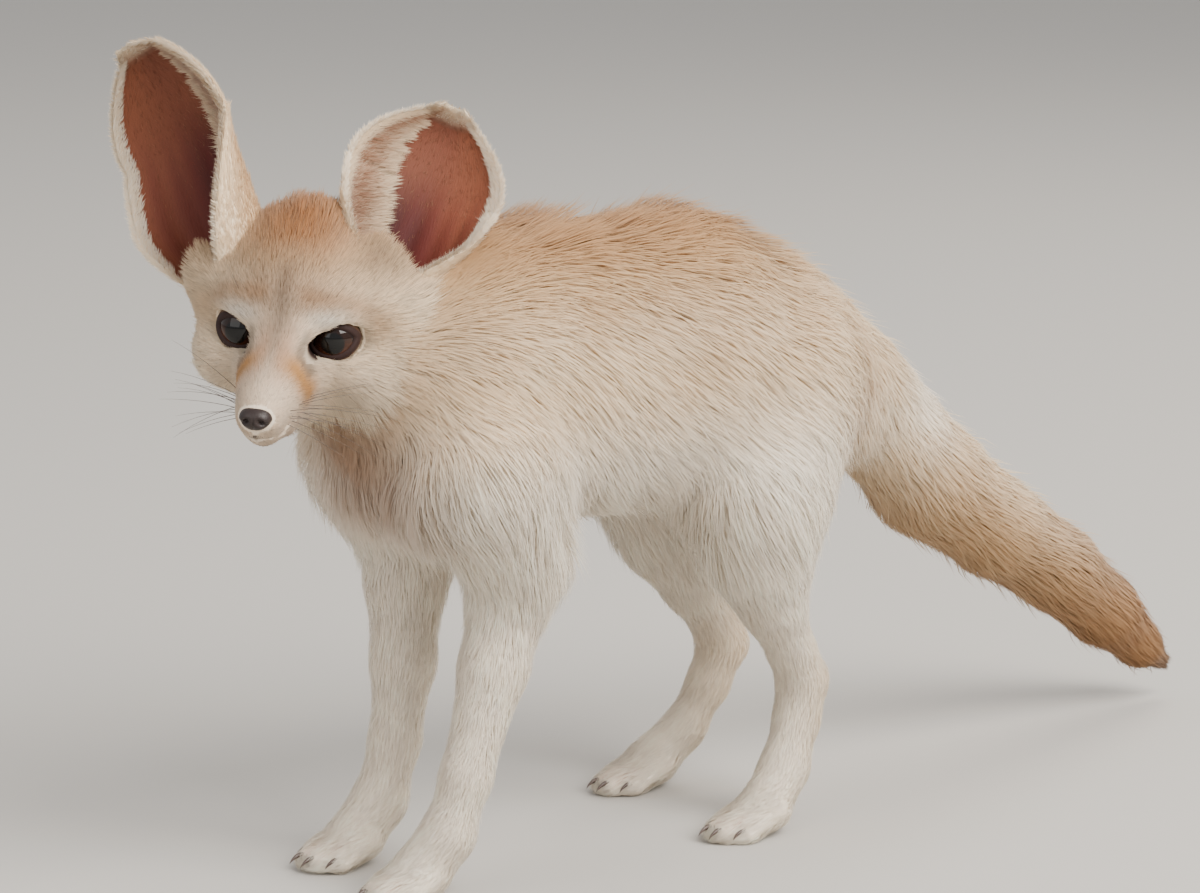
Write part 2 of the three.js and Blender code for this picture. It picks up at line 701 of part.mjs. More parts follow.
// Claws: short curved cones, set in the end of each toe
function clawStations(ball, toe, grow) {
  const [across, reach, radius] = toe;
  const tip = [ball[0] + across, ball[1] - reach - radius, radius];
  const places = [
    [add(tip, [0, 4, 0.6]), 1.3, 1.5],
    [add(tip, [0, 0.5, 1.6]), 1.1, 1.4],
    [add(tip, [0, -2.2, 1.0]), 0.8, 1.0],
    [add(tip, [0, -4.4, -1.2]), 0.25, 0.3],
  ];
  return places.map(([at, wide, thick]) => ({
    at,
    wide: wide + grow,
    thick: thick + grow,
    side: [1, 0, 0],
    out: [0, 0.2, 0.98],
  }));
}

const nodes = [];
function keep(name, solid, material) {
  nodes.push({ name, solid: largest(withoutSlivers(largest(solid))), material });
}

const coatCream = new THREE.MeshStandardMaterial({ color: 0xe6d2b0, roughness: 0.9, metalness: 0 });
const coatWhite = new THREE.MeshStandardMaterial({ color: 0xf1ebe0, roughness: 0.9, metalness: 0 });
const coatGolden = new THREE.MeshStandardMaterial({ color: 0xcfa871, roughness: 0.9, metalness: 0 });
const earSkin = new THREE.MeshStandardMaterial({ color: 0xe3b7a0, roughness: 0.7, metalness: 0 });
const eyeBrown = new THREE.MeshStandardMaterial({ color: 0x2c160c, roughness: 0.08, metalness: 0 });
const noseLeather = new THREE.MeshStandardMaterial({ color: 0x2b1d1b, roughness: 0.45, metalness: 0 });
const clawHorn = new THREE.MeshStandardMaterial({ color: 0x3b2f28, roughness: 0.4, metalness: 0 });

// Where the long hair grows. Points are near the surface of the coat; each lock finds it.
const cheekLocks = [1, -1].flatMap((side) =>
  patch({
    from: headPoint([side * 25, 4, -8]),
    to: headPoint([side * 23, 14, -28]),
    down: headDirection([side * 2, 9, 2]),
    rows: 2,
    columns: 2,
    lie: headDirection([side * 0.35, 0.75, -0.45]),
    length: 19,
    wide: 5,
    lift: 3,
  }),
);
const ruffLocks = [
  // throat and front of the chest
  ...patch({
    from: [34, -100, 140],
    to: [-44, -112, 140],
    down: [2, 6, -22],
    rows: 3,
    columns: 4,
    lie: [0, 0.15, -1],
    length: 28,
    wide: 8,
    lift: 5,
  }),
  // left side of the neck
  ...patch({
    from: [30, -104, 186],
    to: [38, -92, 152],
    down: [3, 10, 0],
    rows: 2,
    columns: 3,
    lie: [0.2, 0.8, -0.7],
    length: 30,
    wide: 8,
    lift: 4,
  }),
  // right side of the neck
  ...patch({
    from: [-44, -84, 190],
    to: [-44, -84, 152],
    down: [-2, 8, 0],
    rows: 1,
    columns: 3,
    lie: [-0.2, 0.8, -0.7],
    length: 28,
    wide: 8,
    lift: 4,
  }),
];
const bodyLocks = [
  // lower chest, between the forelegs
  ...patch({
    from: [22, -104, 120],
    to: [-24, -106, 120],
    down: [0, 8, -12],
    rows: 2,
    columns: 3,
    lie: [0, 0.5, -1],
    length: 26,
    wide: 8,
    lift: 5,
  }),
  // withers and back
  ...patch({
    from: [12, -48, 206],
    to: [-14, -48, 206],
    down: [0, 78, 0],
    rows: 3,
    columns: 2,
    lie: [0, 1, 0],
    length: 36,
    wide: 9,
    lift: 4.5,
  }),
  // shoulder and flank on both sides
  ...[1, -1].flatMap((side) =>
    patch({
      from: [side * 44, -40, 150],
      to: [side * 46, 46, 146],
      down: [side * -3, 6, -22],
      rows: 2,
      columns: 3,
      lie: [side * 0.1, 0.7, -0.75],
      length: 38,
      wide: 10,
      lift: 4,
    }),
  ),
  // fringe under the belly
  ...[1, -1].flatMap((side) =>
    patch({
      from: [side * 26, -34, 112],
      to: [side * 26, 18, 112],
      down: [0, 0, 0],
      rows: 1,
      columns: 3,
      lie: [side * 0.1, 0.7, -0.8],
      length: 24,
      wide: 8,
      lift: 7,
    }),
  ),
  // rump and the back of each thigh
  ...[1, -1].flatMap((side) =>
    patch({
      from: [side * 14, 92, 140],
      to: [side * 30, 74, 132],
      down: [0, -6, -26],
      rows: 2,
      columns: 2,
      lie: [0, 0.25, -1],
      length: 26,
      wide: 8,
      lift: 5,
    }),
  ),
];

// Lids: a thin bowl over the eyeball with an almond opening
const LID_THICKNESS = 1.3;
const EYE_LOOKS = [0.15, -0.97, 0]; // the way an eye faces, in the frame of the head
const LID_HALF_WIDTH = 8.1;
const LID_UPPER = 5.2; // how far the opening reaches up and down from the line of its corners
const LID_LOWER = 4.6;
const LID_SLANT = 0.2; // the outer corner stands higher than the inner one
const LID_STEPS = 8;
function eyeAxes(side) {
  const ahead = unit([EYE_LOOKS[0] * side, EYE_LOOKS[1], EYE_LOOKS[2]]);
  const outer = unit(sub([side, 0, LID_SLANT], scale(ahead, dot([side, 0, LID_SLANT], ahead))));
  const upper = scale(cross(outer, ahead), -side);
  return { ahead, outer, upper };
}
function lidOpening(side) {
  const { ahead, outer, upper } = eyeAxes(side);
  const ring = (distance) => {
    const points = [];
    for (let i = 0; i < 2 * LID_STEPS; i += 1) {
      const angle = (Math.PI * i) / LID_STEPS;
      const rise = Math.sin(angle) * (i < LID_STEPS ? LID_UPPER : LID_LOWER);
      const place = add(scale(outer, Math.cos(angle) * LID_HALF_WIDTH), scale(upper, rise));
      points.push(add(eyeCentre(side), headDirection(add(place, scale(ahead, distance)))));
    }
    return points;
  };
  return solidOf(loft([ring(1), ring(2 * EYE_RADIUS)]));
}

// Nose pad, with a nostril on each side that curls outwards
const NOSE_AT = [0, -35.5, -13.2];
const NOSE_HALF = [5, 4.2, 3.6];
const NOSTRIL = [
  { at: [2.2, -1.2, 0.8], wide: 0.5, thick: 0.4 },
  { at: [2.3, -3, 0.5], wide: 1, thick: 0.8 },
  { at: [1.7, -4.6, 0.3], wide: 1.1, thick: 0.9 },
];
function nosePad(grow) {
  const pad = new THREE.SphereGeometry(1, 12, 8);
  pad.scale(NOSE_HALF[0] + grow, NOSE_HALF[1] + grow, NOSE_HALF[2] + grow);
  pad.applyMatrix4(headTurn.clone().setPosition(...headPoint(NOSE_AT)));
  return solidOf(pad);
}
function nostril(side) {
  const stations = NOSTRIL.map(({ at, wide, thick }) => ({
    at: headPoint(add(NOSE_AT, [at[0] * side, at[1], at[2]])),
    wide,
    thick,
    side: headDirection([1, 0, 0]),
    out: headDirection([0, 0, 1]),
  }));
  return solidOf(strand(stations));
}

// The line of the mouth on one side, from under the nose back along the muzzle, as points in
// the frame of the head. A groove runs along it, with a soft lip above and another below.
const MOUTH_LINE = [
  [-1, -34, -19.6],
  [3.5, -32, -19.8],
  [7.5, -26, -20.2],
  [10.5, -18, -20],
  [13, -9, -18.5],
  [14.5, -2, -16],
];
const GROOVE = { wide: 0.8, thick: 1.1, rise: 0 };
const UPPER_LIP = { wide: 1.3, thick: 1, rise: 1.4 };
const LOWER_LIP = { wide: 1.2, thick: 1, rise: -1.4 };
function mouthStrand(side, { wide, thick, rise }) {
  const stations = MOUTH_LINE.map((point, index) => {
    const place = settle(body, headPoint([point[0] * side, point[1], point[2] + rise]));
    const out = outward(body, place);
    const next = MOUTH_LINE[Math.min(index + 1, MOUTH_LINE.length - 1)];
    const before = MOUTH_LINE[Math.max(index - 1, 0)];
    const along = headDirection([(next[0] - before[0]) * side, next[1] - before[1], next[2] - before[2]]);
    const narrow = index === MOUTH_LINE.length - 1 ? 0.3 : 1;
    return { at: place, wide: wide * narrow, thick: thick * narrow, side: unit(cross(out, along)), out };
  });
  return solidOf(strand(stations));
}

// The head
const HEAD_CELL = 4.9;
const NECK_CELL = 9.2;
const TORSO_CELL = 13.6;
const headBox = [[-66, -175, 135], [60, -64, 232]];
const headSurface = solidOf(surfaceOf(body, headBox[0], headBox[1], HEAD_CELL));
let head = headSurface.intersect(headRoom(-GAP / 2));
for (const side of [1, -1]) {
  head = head.add(ball(eyeCentre(side), EYE_RADIUS + GAP + LID_THICKNESS));
  head = head.add(mouthStrand(side, UPPER_LIP)).add(mouthStrand(side, LOWER_LIP));
}
head = withLocks(head, cheekLocks);
for (const [side, ear] of Object.entries(EARS)) {
  const plane = headPoint(add(ear.root, scale(earFrame(ear).axis, EAR_ROOT_REACH)));
  const outwards = headDirection(earFrame(ear).axis);
  const bladeFoot = add(plane, scale(outwards, EAR_BLADE_SET_IN));
  const blade = trimmed(earShell(ear, 0), bladeFoot, reversed(outwards));
  const stalk = headSurface.intersect(earStalk(ear, -GAP / 2));
  keep(`ear_${side}`, blade.add(stalk).subtract(earCanal(ear)), earSkin);
  head = head.subtract(earStalk(ear, GAP / 2));
  head = head.subtract(trimmed(earShell(ear, GAP), bladeFoot, reversed(outwards)));
}
for (const side of [1, -1]) {
  head = head.subtract(ball(eyeCentre(side), EYE_RADIUS + GAP)).subtract(lidOpening(side));
  head = head.subtract(mouthStrand(side, GROOVE));
}
head = head.subtract(nosePad(GAP));
keep('head', head, coatCream);
keep('eye_left', ball(eyeCentre(1), EYE_RADIUS), eyeBrown);
keep('eye_right', ball(eyeCentre(-1), EYE_RADIUS), eyeBrown);
keep('nose_pad', nosePad(0).subtract(nostril(1)).subtract(nostril(-1)), noseLeather);

// Neck and torso
const clearOfEar = (solid, ear) => solid.subtract(earShell(ear, GAP)).subtract(earStalk(ear, GAP / 2));
let neck = solidOf(surfaceOf(body, [-60, -140, 104], [50, -40, 228], NECK_CELL));
neck = trimmed(neck, NECK_TORSO.point, NECK_TORSO.direction);
neck = withLocks(neck, ruffLocks).subtract(headRoom(GAP / 2));
for (const ear of Object.values(EARS)) neck = clearOfEar(neck, ear);
keep('neck', clearOf(neck, cheekLocks), coatCream);

let torso = solidOf(surfaceOf(body, [-62, -130, 74], [62, 140, 226], TORSO_CELL));
torso = trimmed(torso, TORSO_TAIL.point, TORSO_TAIL.direction);
torso = trimmed(torso, [0, 0, ELBOW_HEIGHT], DOWN);
torso = trimmed(withLocks(torso, bodyLocks), NECK_TORSO.point, reversed(NECK_TORSO.direction));
torso = torso.subtract(headRoom(GAP / 2));
for (const ear of Object.values(EARS)) torso = clearOfEar(torso, ear);
keep('torso', clearOf(torso, ruffLocks), coatCream);

// Rings of points joined into a closed tube with flat ends
function loft(rings) {
  const sides = rings[0].length;
  const corners = rings.flat();
  const triangles = [];
  for (let i = 0; i + 1 < rings.length; i += 1) {
    for (let j = 0; j < sides; j += 1) {
      const a = i * sides + j;
      const b = i * sides + ((j + 1) % sides);
      triangles.push(a, b, b + sides, a, b + sides, a + sides);
    }
  }
  const last = (rings.length - 1) * sides;
  for (let j = 1; j + 1 < sides; j += 1) {
    triangles.push(0, j + 1, j);
    triangles.push(last, last + j, last + j + 1);
  }
  return meshOf(corners, triangles);
}

// Tail
const TAIL_RINGS = 9;
const TAIL_SIDES = 10;
const tailCurve = new THREE.CatmullRomCurve3(TAIL_LINE.map((p) => new THREE.Vector3(p[0], p[1], p[2])));
const tailPlace = (t) => tailCurve.getPoint(t).toArray();
function tailRadius(t) {
  const step = Math.min(t * (TAIL_LINE.length - 1), TAIL_LINE.length - 1.0001);
  const index = Math.floor(step);
  return mix(TAIL_LINE[index][3], TAIL_LINE[index + 1][3], step - index);
}
function tailFrame(t) {
  const along = tailCurve.getTangent(t).toArray();
  const side = unit(cross(along, [1, 0, 0]));
  return { along, side, across: cross(side, along) };
}
function tailPoint(t, angle, radius) {
  const { side, across } = tailFrame(t);
  const place = add(scale(side, Math.cos(angle) * radius), scale(across, Math.sin(angle) * radius));
  return add(tailPlace(t), place);
}
const tailRings = [];
for (let i = 0; i <= TAIL_RINGS; i += 1) {
  const t = i / TAIL_RINGS;
  const ring = [];
  for (let j = 0; j < TAIL_SIDES; j += 1) {
    const share = mix(1, TAIL_CORE_SHARE, Math.min(1, t / TAIL_CORE_START));
    ring.push(tailPoint(t, (-2 * Math.PI * j) / TAIL_SIDES, tailRadius(t) * share));
  }
  tailRings.push(ring);
}

// Locks of the tail leave its core, lie back along it and end at its outline.
// Each step: share of the length, of the half width, of the half thickness, and of the outline
const TAIL_LOCK_STEPS = [[0, 0.5, 1, 0.3], [0.36, 1, 1, 0.76], [0.72, 0.8, 0.8, 0.96], [1, 0.05, 0.3, 1]];
const TAIL_LOCK_LENGTH = 0.34; // of the length of the tail
const TAIL_LOCK_ROWS = 5;
const TAIL_LOCKS_AROUND = 5;
const TAIL_LOCK_WIDTH = 0.6; // half width, as a share of the radius of the outline
const tailLocks = [];
for (let row = 0; row < TAIL_LOCK_ROWS; row += 1) {
  for (let j = 0; j < TAIL_LOCKS_AROUND; j += 1) {
    const start = 0.02 + (0.68 * row) / (TAIL_LOCK_ROWS - 1) + spread(0.015);
    const angle = (2 * Math.PI * (j + (row % 2) * 0.5 + spread(0.12))) / TAIL_LOCKS_AROUND;
    const twist = spread(0.25);
    const reach = 1 + spread(0.06);
    const stations = TAIL_LOCK_STEPS.map(([share, width, thickness, rise]) => {
      const t = Math.min(start + TAIL_LOCK_LENGTH * share, 1);
      const turn = angle + twist * share;
      const radius = tailRadius(t) * rise * reach;
      const { side, across } = tailFrame(t);
      const out = add(scale(side, Math.cos(turn)), scale(across, Math.sin(turn)));
      const wide = tailRadius(start + (TAIL_LOCK_LENGTH * share) / 2) * TAIL_LOCK_WIDTH * width;
      const along = add(scale(side, -Math.sin(turn)), scale(across, Math.cos(turn)));
      return { at: tailPoint(t, turn, radius), wide, thick: LOCK_THICKNESS * thickness, side: along, out };
    });
    tailLocks.push(solidOf(strand(stations, false)));
  }
}
let tail = tailLocks.reduce((sum, lock) => sum.add(lock), solidOf(loft(tailRings)));
tail = trimmed(tail, TORSO_TAIL.point, reversed(TORSO_TAIL.direction));
keep('tail', clearOf(tail, bodyLocks), coatGolden);

// Legs
const LEG_SIDES = 12;
const PAW_CELL = 5;
const legs = [
  ['left', FORE_LEFT, HIND_LEFT],
  ['right', FORE_RIGHT, HIND_RIGHT],
];
function legBox(joints, low, high, room) {
  const xs = joints.map((j) => j[0]);
  const ys = joints.map((j) => j[1]);
  return [
    [Math.min(...xs) - room, Math.min(...ys) - room, low],
    [Math.max(...xs) + room, Math.max(...ys) + room, high],
  ];
}
// The middle of a limb at a height, between the joints above and below it
function limbCentre(joints, height) {
  let index = 0;
  while (index < joints.length - 2 && joints[index + 1][2] > height) index += 1;
  const [above, below] = [joints[index], joints[index + 1]];
  return mixPoints(above, below, (above[2] - height) / (above[2] - below[2]));
}

// The limb between two heights, as rings of points on its surface
function limbPiece(joints, low, high, count) {
  const rings = [];
  for (let i = 0; i <= count; i += 1) {
    const height = mix(low + GAP / 2, high - GAP / 2, i / count);
    const centre = limbCentre(joints, height);
    const ring = [];
    for (let j = 0; j < LEG_SIDES; j += 1) {
      const angle = (2 * Math.PI * j) / LEG_SIDES;
      const out = [Math.cos(angle), Math.sin(angle), 0];
      let reach = 1;
      for (let tries = 0; tries < 40; tries += 1) {
        reach -= body(centre[0] + out[0] * reach, centre[1] + out[1] * reach, height);
      }
      ring.push(add([centre[0], centre[1], height], scale(out, reach)));
    }
    rings.push(ring);
  }
  return solidOf(loft(rings));
}

function pawPiece(field, joints, high) {
  const [from, to] = legBox(joints, -3 * PAW_CELL, high + 3 * PAW_CELL, 32);
  const paw = trimmed(solidOf(surfaceOf(field, from, to, PAW_CELL)), [0, 0, high], UP);
  return paw.subtract(farSide([0, 0, 0], DOWN));
}

for (const [side, fore, hind] of legs) {
  const foreField = legFields[side === 'left' ? 0 : 1];
  const hindField = legFields[side === 'left' ? 2 : 3];
  const foreJoints = [fore.elbow, fore.forearm, fore.middle, fore.wrist, fore.pastern, fore.ball];
  const foreLimb = limbPiece(foreJoints, FORE_PAW_HEIGHT, ELBOW_HEIGHT, 7);
  keep(`fore_leg_${side}`, clearOf(foreLimb, bodyLocks), coatWhite);
  const hindJoints = [hind.thigh, hind.knee, hind.shin, hind.lowerShin, hind.hock];
  const hindLimb = limbPiece(hindJoints, HOCK_HEIGHT, ELBOW_HEIGHT, 5);
  keep(`hind_leg_${side}`, clearOf(hindLimb, bodyLocks), coatWhite);
  const footJoints = [hind.lowerShin, hind.hock, hind.metatarsus, hind.pastern, hind.ball];
  keep(`hind_foot_${side}`, limbPiece(footJoints, HIND_PAW_HEIGHT, HOCK_HEIGHT, 5), coatWhite);
  const paws = [
    ['fore', foreField, fore, FORE_TOES, FORE_PAW_HEIGHT],
    ['hind', hindField, hind, HIND_TOES, HIND_PAW_HEIGHT],
  ];
  for (const [which, field, leg, sizes, top] of paws) {
    let paw = pawPiece(field, [leg.ball, leg.pastern], top);
    sizes.forEach((toe, index) => {
      paw = paw.subtract(solidOf(strand(clawStations(leg.ball, toe, GAP))));
      const claw = solidOf(strand(clawStations(leg.ball, toe, 0)));
      keep(`${which}_claw_${side}_${index + 1}`, claw, clawHorn);
    });
    keep(`${which}_paw_${side}`, paw, coatWhite);
  }
}

const group = new THREE.Group();
for (const { name, solid, material } of nodes) {
  const mesh = new THREE.Mesh(geometryOf(solid), material);
  mesh.name = name;
  group.add(mesh);
}
const bounds = new THREE.Box3().setFromObject(group);
const middle = bounds.getCenter(new THREE.Vector3());
group.position.set(-middle.x, -middle.y, -bounds.min.z);

export default group;
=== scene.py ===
import math

import bpy
import numpy as np
from mathutils import Matrix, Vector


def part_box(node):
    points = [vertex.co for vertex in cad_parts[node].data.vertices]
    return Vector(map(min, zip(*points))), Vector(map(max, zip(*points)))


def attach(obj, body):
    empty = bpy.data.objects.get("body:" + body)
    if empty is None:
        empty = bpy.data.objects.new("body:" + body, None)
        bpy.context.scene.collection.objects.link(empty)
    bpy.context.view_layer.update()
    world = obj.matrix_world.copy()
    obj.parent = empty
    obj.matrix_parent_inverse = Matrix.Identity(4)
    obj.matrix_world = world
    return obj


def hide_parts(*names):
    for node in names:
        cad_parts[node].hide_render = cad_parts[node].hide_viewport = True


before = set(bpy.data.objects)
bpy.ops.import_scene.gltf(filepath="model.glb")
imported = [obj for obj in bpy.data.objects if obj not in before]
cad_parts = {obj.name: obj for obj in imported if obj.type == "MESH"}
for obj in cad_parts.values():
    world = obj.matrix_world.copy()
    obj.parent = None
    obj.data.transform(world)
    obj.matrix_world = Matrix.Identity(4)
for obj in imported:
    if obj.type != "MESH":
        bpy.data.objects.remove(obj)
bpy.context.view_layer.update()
rng = np.random.default_rng(20261125)
print("solids loaded:", len(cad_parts))

# %% [markdown]
# ## Where the head is
# A fox turns its head far more freely than its chest, so the head has a frame of its own. Its
# origin is midway between the eyes, x points to the fox's left, y to the back of the skull and
# z to the crown. Three turns set it: yaw, pitch and roll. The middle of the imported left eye
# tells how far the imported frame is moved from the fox's own.
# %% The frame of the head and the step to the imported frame
HEAD_AT = np.array([2.1, -130.7, 179.0])
HEAD_YAW, HEAD_PITCH, HEAD_ROLL = 40.3, 9.8, 4.5  # degrees
EYE_RADIUS = 7.6
EYE_SPACING = 28.0
EYE_DEPTH = 5.2


def unit(v):
    v = np.asarray(v, float)
    return v / np.maximum(np.linalg.norm(v, axis=-1, keepdims=True), 1e-9)


def turn(axis, degrees):
    c, s = math.cos(math.radians(degrees)), math.sin(math.radians(degrees))
    i, j = [(1, 2), (2, 0), (0, 1)][axis]
    m = np.eye(3)
    m[i, i] = m[j, j] = c
    m[i, j], m[j, i] = -s, s
    return m


HEAD = turn(2, HEAD_YAW) @ turn(0, HEAD_PITCH) @ turn(1, HEAD_ROLL)


def from_head(p):
    return HEAD_AT + np.asarray(p, float) @ HEAD.T


def to_head(p):
    return (p - HEAD_AT) @ HEAD


def head_way(v):
    return np.asarray(v, float) @ HEAD.T


def eye_centre(side):
    return from_head([side * EYE_SPACING / 2, EYE_DEPTH, 0])


low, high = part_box("eye_left")
SHIFT = (np.array(low) + np.array(high)) * 500 - eye_centre(1)
print("packed frame is moved by", np.round(SHIFT, 2), "mm")


def to_frame(points):
    return (np.asarray(points) + SHIFT) / 1000


# %% [markdown]
# ## The camera
# The photograph was taken with a long lens from the fox's left front, a little above its eyes.
# A long lens flattens the animal, so the distance matters as much as the angle: it was found
# together with the pose, by laying the skeleton over the photograph.
# %% Camera
CAMERA_AZIMUTH, CAMERA_HEIGHT_ANGLE, CAMERA_ROLL = 49.78, 11.05, 0.55  # degrees
CAMERA_DISTANCE = 1376.65
CAMERA_AIM = (-3.22, 129.39)  # sideways from the middle of the fox, and height
FOCAL_PIXELS, IMAGE_WIDTH, SENSOR = 4253.5, 1200, 36.0

a, e, r = (math.radians(x) for x in (CAMERA_AZIMUTH, CAMERA_HEIGHT_ANGLE, CAMERA_ROLL))
back = np.array([math.sin(a) * math.cos(e), -math.cos(a) * math.cos(e), math.sin(e)])
level = np.array([math.cos(a), math.sin(a), 0.0])
upright = np.cross(back, level)
right = math.cos(r) * level + math.sin(r) * upright
above = -math.sin(r) * level + math.cos(r) * upright
CAMERA_AT = level * CAMERA_AIM[0] + np.array([0, 0, CAMERA_AIM[1]]) + back * CAMERA_DISTANCE

camera = bpy.data.objects.new("camera", bpy.data.cameras.new("camera"))
camera.data.sensor_fit = "HORIZONTAL"
camera.data.sensor_width = SENSOR
camera.data.lens = SENSOR * FOCAL_PIXELS / IMAGE_WIDTH
place = np.eye(4)
place[:3, 0], place[:3, 1], place[:3, 2] = right, above, back
place[:3, 3] = to_frame(CAMERA_AT)
camera.matrix_world = Matrix(place.tolist())
bpy.context.scene.collection.objects.link(camera)
bpy.context.scene.camera = camera
print("lens", round(camera.data.lens, 1), "mm")

# %% [markdown]
# ## Floor and light
# White fur has little contrast of its own, so it needs a light that comes from one side and a
# weaker one from the other. Large soft lights keep the shadows between the tufts open.
# %% Floor, world and lights
def plain_material(name, colour, roughness):
    material = bpy.data.materials.new(name)
    material.use_nodes = True
    shader = material.node_tree.nodes["Principled BSDF"]
    shader.inputs["Base Color"].default_value = (*colour, 1)
    shader.inputs["Roughness"].default_value = roughness
    return material


FLOOR_HALF, FLOOR_COLOUR = 6.0, (0.46, 0.44, 0.41)
WORLD_COLOUR, WORLD_STRENGTH = (0.92, 0.92, 0.93), 0.78
floor_mesh = bpy.data.meshes.new("floor")
floor_corners = [(x * FLOOR_HALF, y * FLOOR_HALF, 0) for x, y in ((-1, -1), (1, -1), (1, 1), (-1, 1))]
floor_mesh.from_pydata(floor_corners, [], [(0, 1, 2, 3)])
floor_mesh.materials.append(plain_material("floor", FLOOR_COLOUR, 0.9))
floor = bpy.data.objects.new("floor", floor_mesh)
bpy.context.scene.collection.objects.link(floor)

world = bpy.data.worlds.new("studio")
world.use_nodes = True
backdrop = world.node_tree.nodes["Background"]
backdrop.inputs["Color"].default_value = (*WORLD_COLOUR, 1)
backdrop.inputs["Strength"].default_value = WORLD_STRENGTH
bpy.context.scene.world = world

LIGHTS = {  # name: azimuth, height angle, distance in metres, size, power in watts, colour
    "key": (98, 42, 1.9, 1.4, 84, (1.0, 0.96, 0.90)),
    "fill": (8, 26, 2.2, 1.8, 17, (1.0, 0.96, 0.92)),
    "rim": (205, 46, 2.0, 1.0, 18, (1.0, 0.95, 0.88)),
}
LIGHT_AIM = np.array([0.0, 0.0, 0.13])
for name, (azimuth, height, distance, size, watts, colour) in LIGHTS.items():
    a, e = math.radians(azimuth), math.radians(height)
    out = np.array([math.sin(a) * math.cos(e), -math.cos(a) * math.cos(e), math.sin(e)])
    side = unit(np.cross([0, 0, 1], out))
    light = bpy.data.lights.new(name, "AREA")
    light.size, light.energy, light.color = size, watts, colour
    holder = bpy.data.objects.new(name, light)
    place = np.eye(4)
    place[:3, 0], place[:3, 1], place[:3, 2] = side, np.cross(out, side), out
    place[:3, 3] = LIGHT_AIM + out * distance
    holder.matrix_world = Matrix(place.tolist())
    bpy.context.scene.collection.objects.link(holder)
print("lights:", ", ".join(LIGHTS))

# %% [markdown]
# ## The shape of the coat as a distance
# Every part of the animal is a round cone between two joints or an egg, and the soft fillets
# between them are what muscle and skin do on the real fox. A distance field says how far a
# point is from that surface.
# %% Round cones, eggs and soft joins
def limb(a, b):
    a, b = np.array(a, np.float32), np.array(b, np.float32)
    along = b[:3] - a[:3]
    square = float(along @ along)
    taper = float(a[3] - b[3])
    slant = square - taper * taper

    def distance(p):
        d = p - a[:3]
        t = d @ along
        past = t - square
        aside = ((d * square - t[:, None] * along) ** 2).sum(1)
        edge = np.sign(taper) * taper * taper * aside
        mid = (np.sqrt(aside * slant / square) + t * taper) / square - a[3]
        top = np.sqrt(aside + past * past * square) / square - b[3]
        root = np.sqrt(aside + t * t * square) / square - a[3]
        in_top = np.sign(past) * slant * past * past * square > edge
        in_root = np.sign(t) * slant * t * t * square < edge
        return np.where(in_top, top, np.where(in_root, root, mid))

    return distance


def egg(centre, half):
    centre, half = np.array(centre, np.float32), np.array(half, np.float32)

    def distance(p):
        d = (p - centre) / half
        near = np.sqrt((d * d).sum(1))
        slope = np.sqrt(((d / half) ** 2).sum(1)) + 1e-6
        return near * (near - 1) / slope

    return distance


def narrowed(field, share):
    return lambda p: field(p / np.array([share, 1, 1], np.float32)) * share


def join(fields, softness):
    def distance(p):
        near = fields[0](p)
        for field in fields[1:]:
            other = field(p)
            overlap = np.maximum(softness - np.abs(near - other), 0) / softness
            near = np.minimum(near, other) - overlap * overlap * softness / 4
        return near

    return distance


def chain(joints, softness):
    return join([limb(joints[i], joints[i + 1]) for i in range(len(joints) - 1)], softness)


print("shapes ready")

# %% [markdown]
# ## The skeleton
# These are the joints of the pose in the photograph, each with the radius of the furred limb:
# x, y, z, radius. The fox stands square but not stiff: the near foreleg is a little ahead of
# the far one, and the hocks are drawn back under the rump.
# %% Joints
FORE_LEGS = {
    1: [(27, -74, 132, 25), (23, -57, 104, 17), (20.5, -58.5, 92, 13.2), (22.5, -66, 70, 10.6),
        (25.5, -79, 38, 7.8), (24, -85, 20, 8.2), (20, -92, 9, 9.5)],
    -1: [(-27, -74, 132, 25), (-27, -60, 102, 16), (-26.5, -63, 88, 12.6), (-25, -65, 63, 10.2),
         (-24, -69, 38, 8), (-24, -75, 19, 8.4), (-24.5, -84, 9, 9.5)],
}
HIND_LEGS = {
    1: [(17, 56, 146, 31), (26, 40, 112, 25), (27, 42, 92, 17), (27, 48, 75, 10.8), (25.5, 58, 58, 7.6),
        (24, 64.5, 47, 8.2), (24.5, 62, 34, 7.4), (27.5, 54, 19, 7.8), (31.5, 42, 8.5, 9)],
    -1: [(-17, 56, 146, 31), (-24, 42, 112, 25), (-25, 46, 92, 17), (-25, 59, 71, 10.4), (-26.5, 69, 58, 7.8),
         (-27.5, 75, 48, 8.4), (-29, 70, 34, 7), (-32, 62, 19, 7), (-35, 50, 8.5, 9)],
}
FORE_TOES = [(-8.2, 12, 4.2), (-2.9, 17.5, 4.5), (2.9, 17.5, 4.5), (8.2, 12, 4.2)]
HIND_TOES = [(-7.4, 14, 4), (-2.6, 20, 4.3), (2.6, 20, 4.3), (7.4, 14, 4)]
TOE_FLAT = 1.0
TAIL = [(1.7, 106, 142, 17), (1.4, 126, 118, 18.5), (0, 144, 101, 20), (-3, 182, 78, 17),
        (-6, 217, 58, 15), (-8.5, 245, 38, 12.5), (-10, 266, 22, 8), (-10, 277, 15, 3)]
EARS = {  # in the frame of the head: root, tip, the way the cup faces, width of the blade
    1: dict(root=(23, 26, 10), tip=(36.3, 69, 58), faces=(0.25, -0.75, 0.6), width=51),
    -1: dict(root=(-23, 26, 10), tip=(-67, 44, 71), faces=(-0.5, -0.86, 0), width=54),
}
EAR_ROOT_RADIUS = 15
print("joints of a leg:", len(FORE_LEGS[1]), "and", len(HIND_LEGS[1]), "of the tail:", len(TAIL))

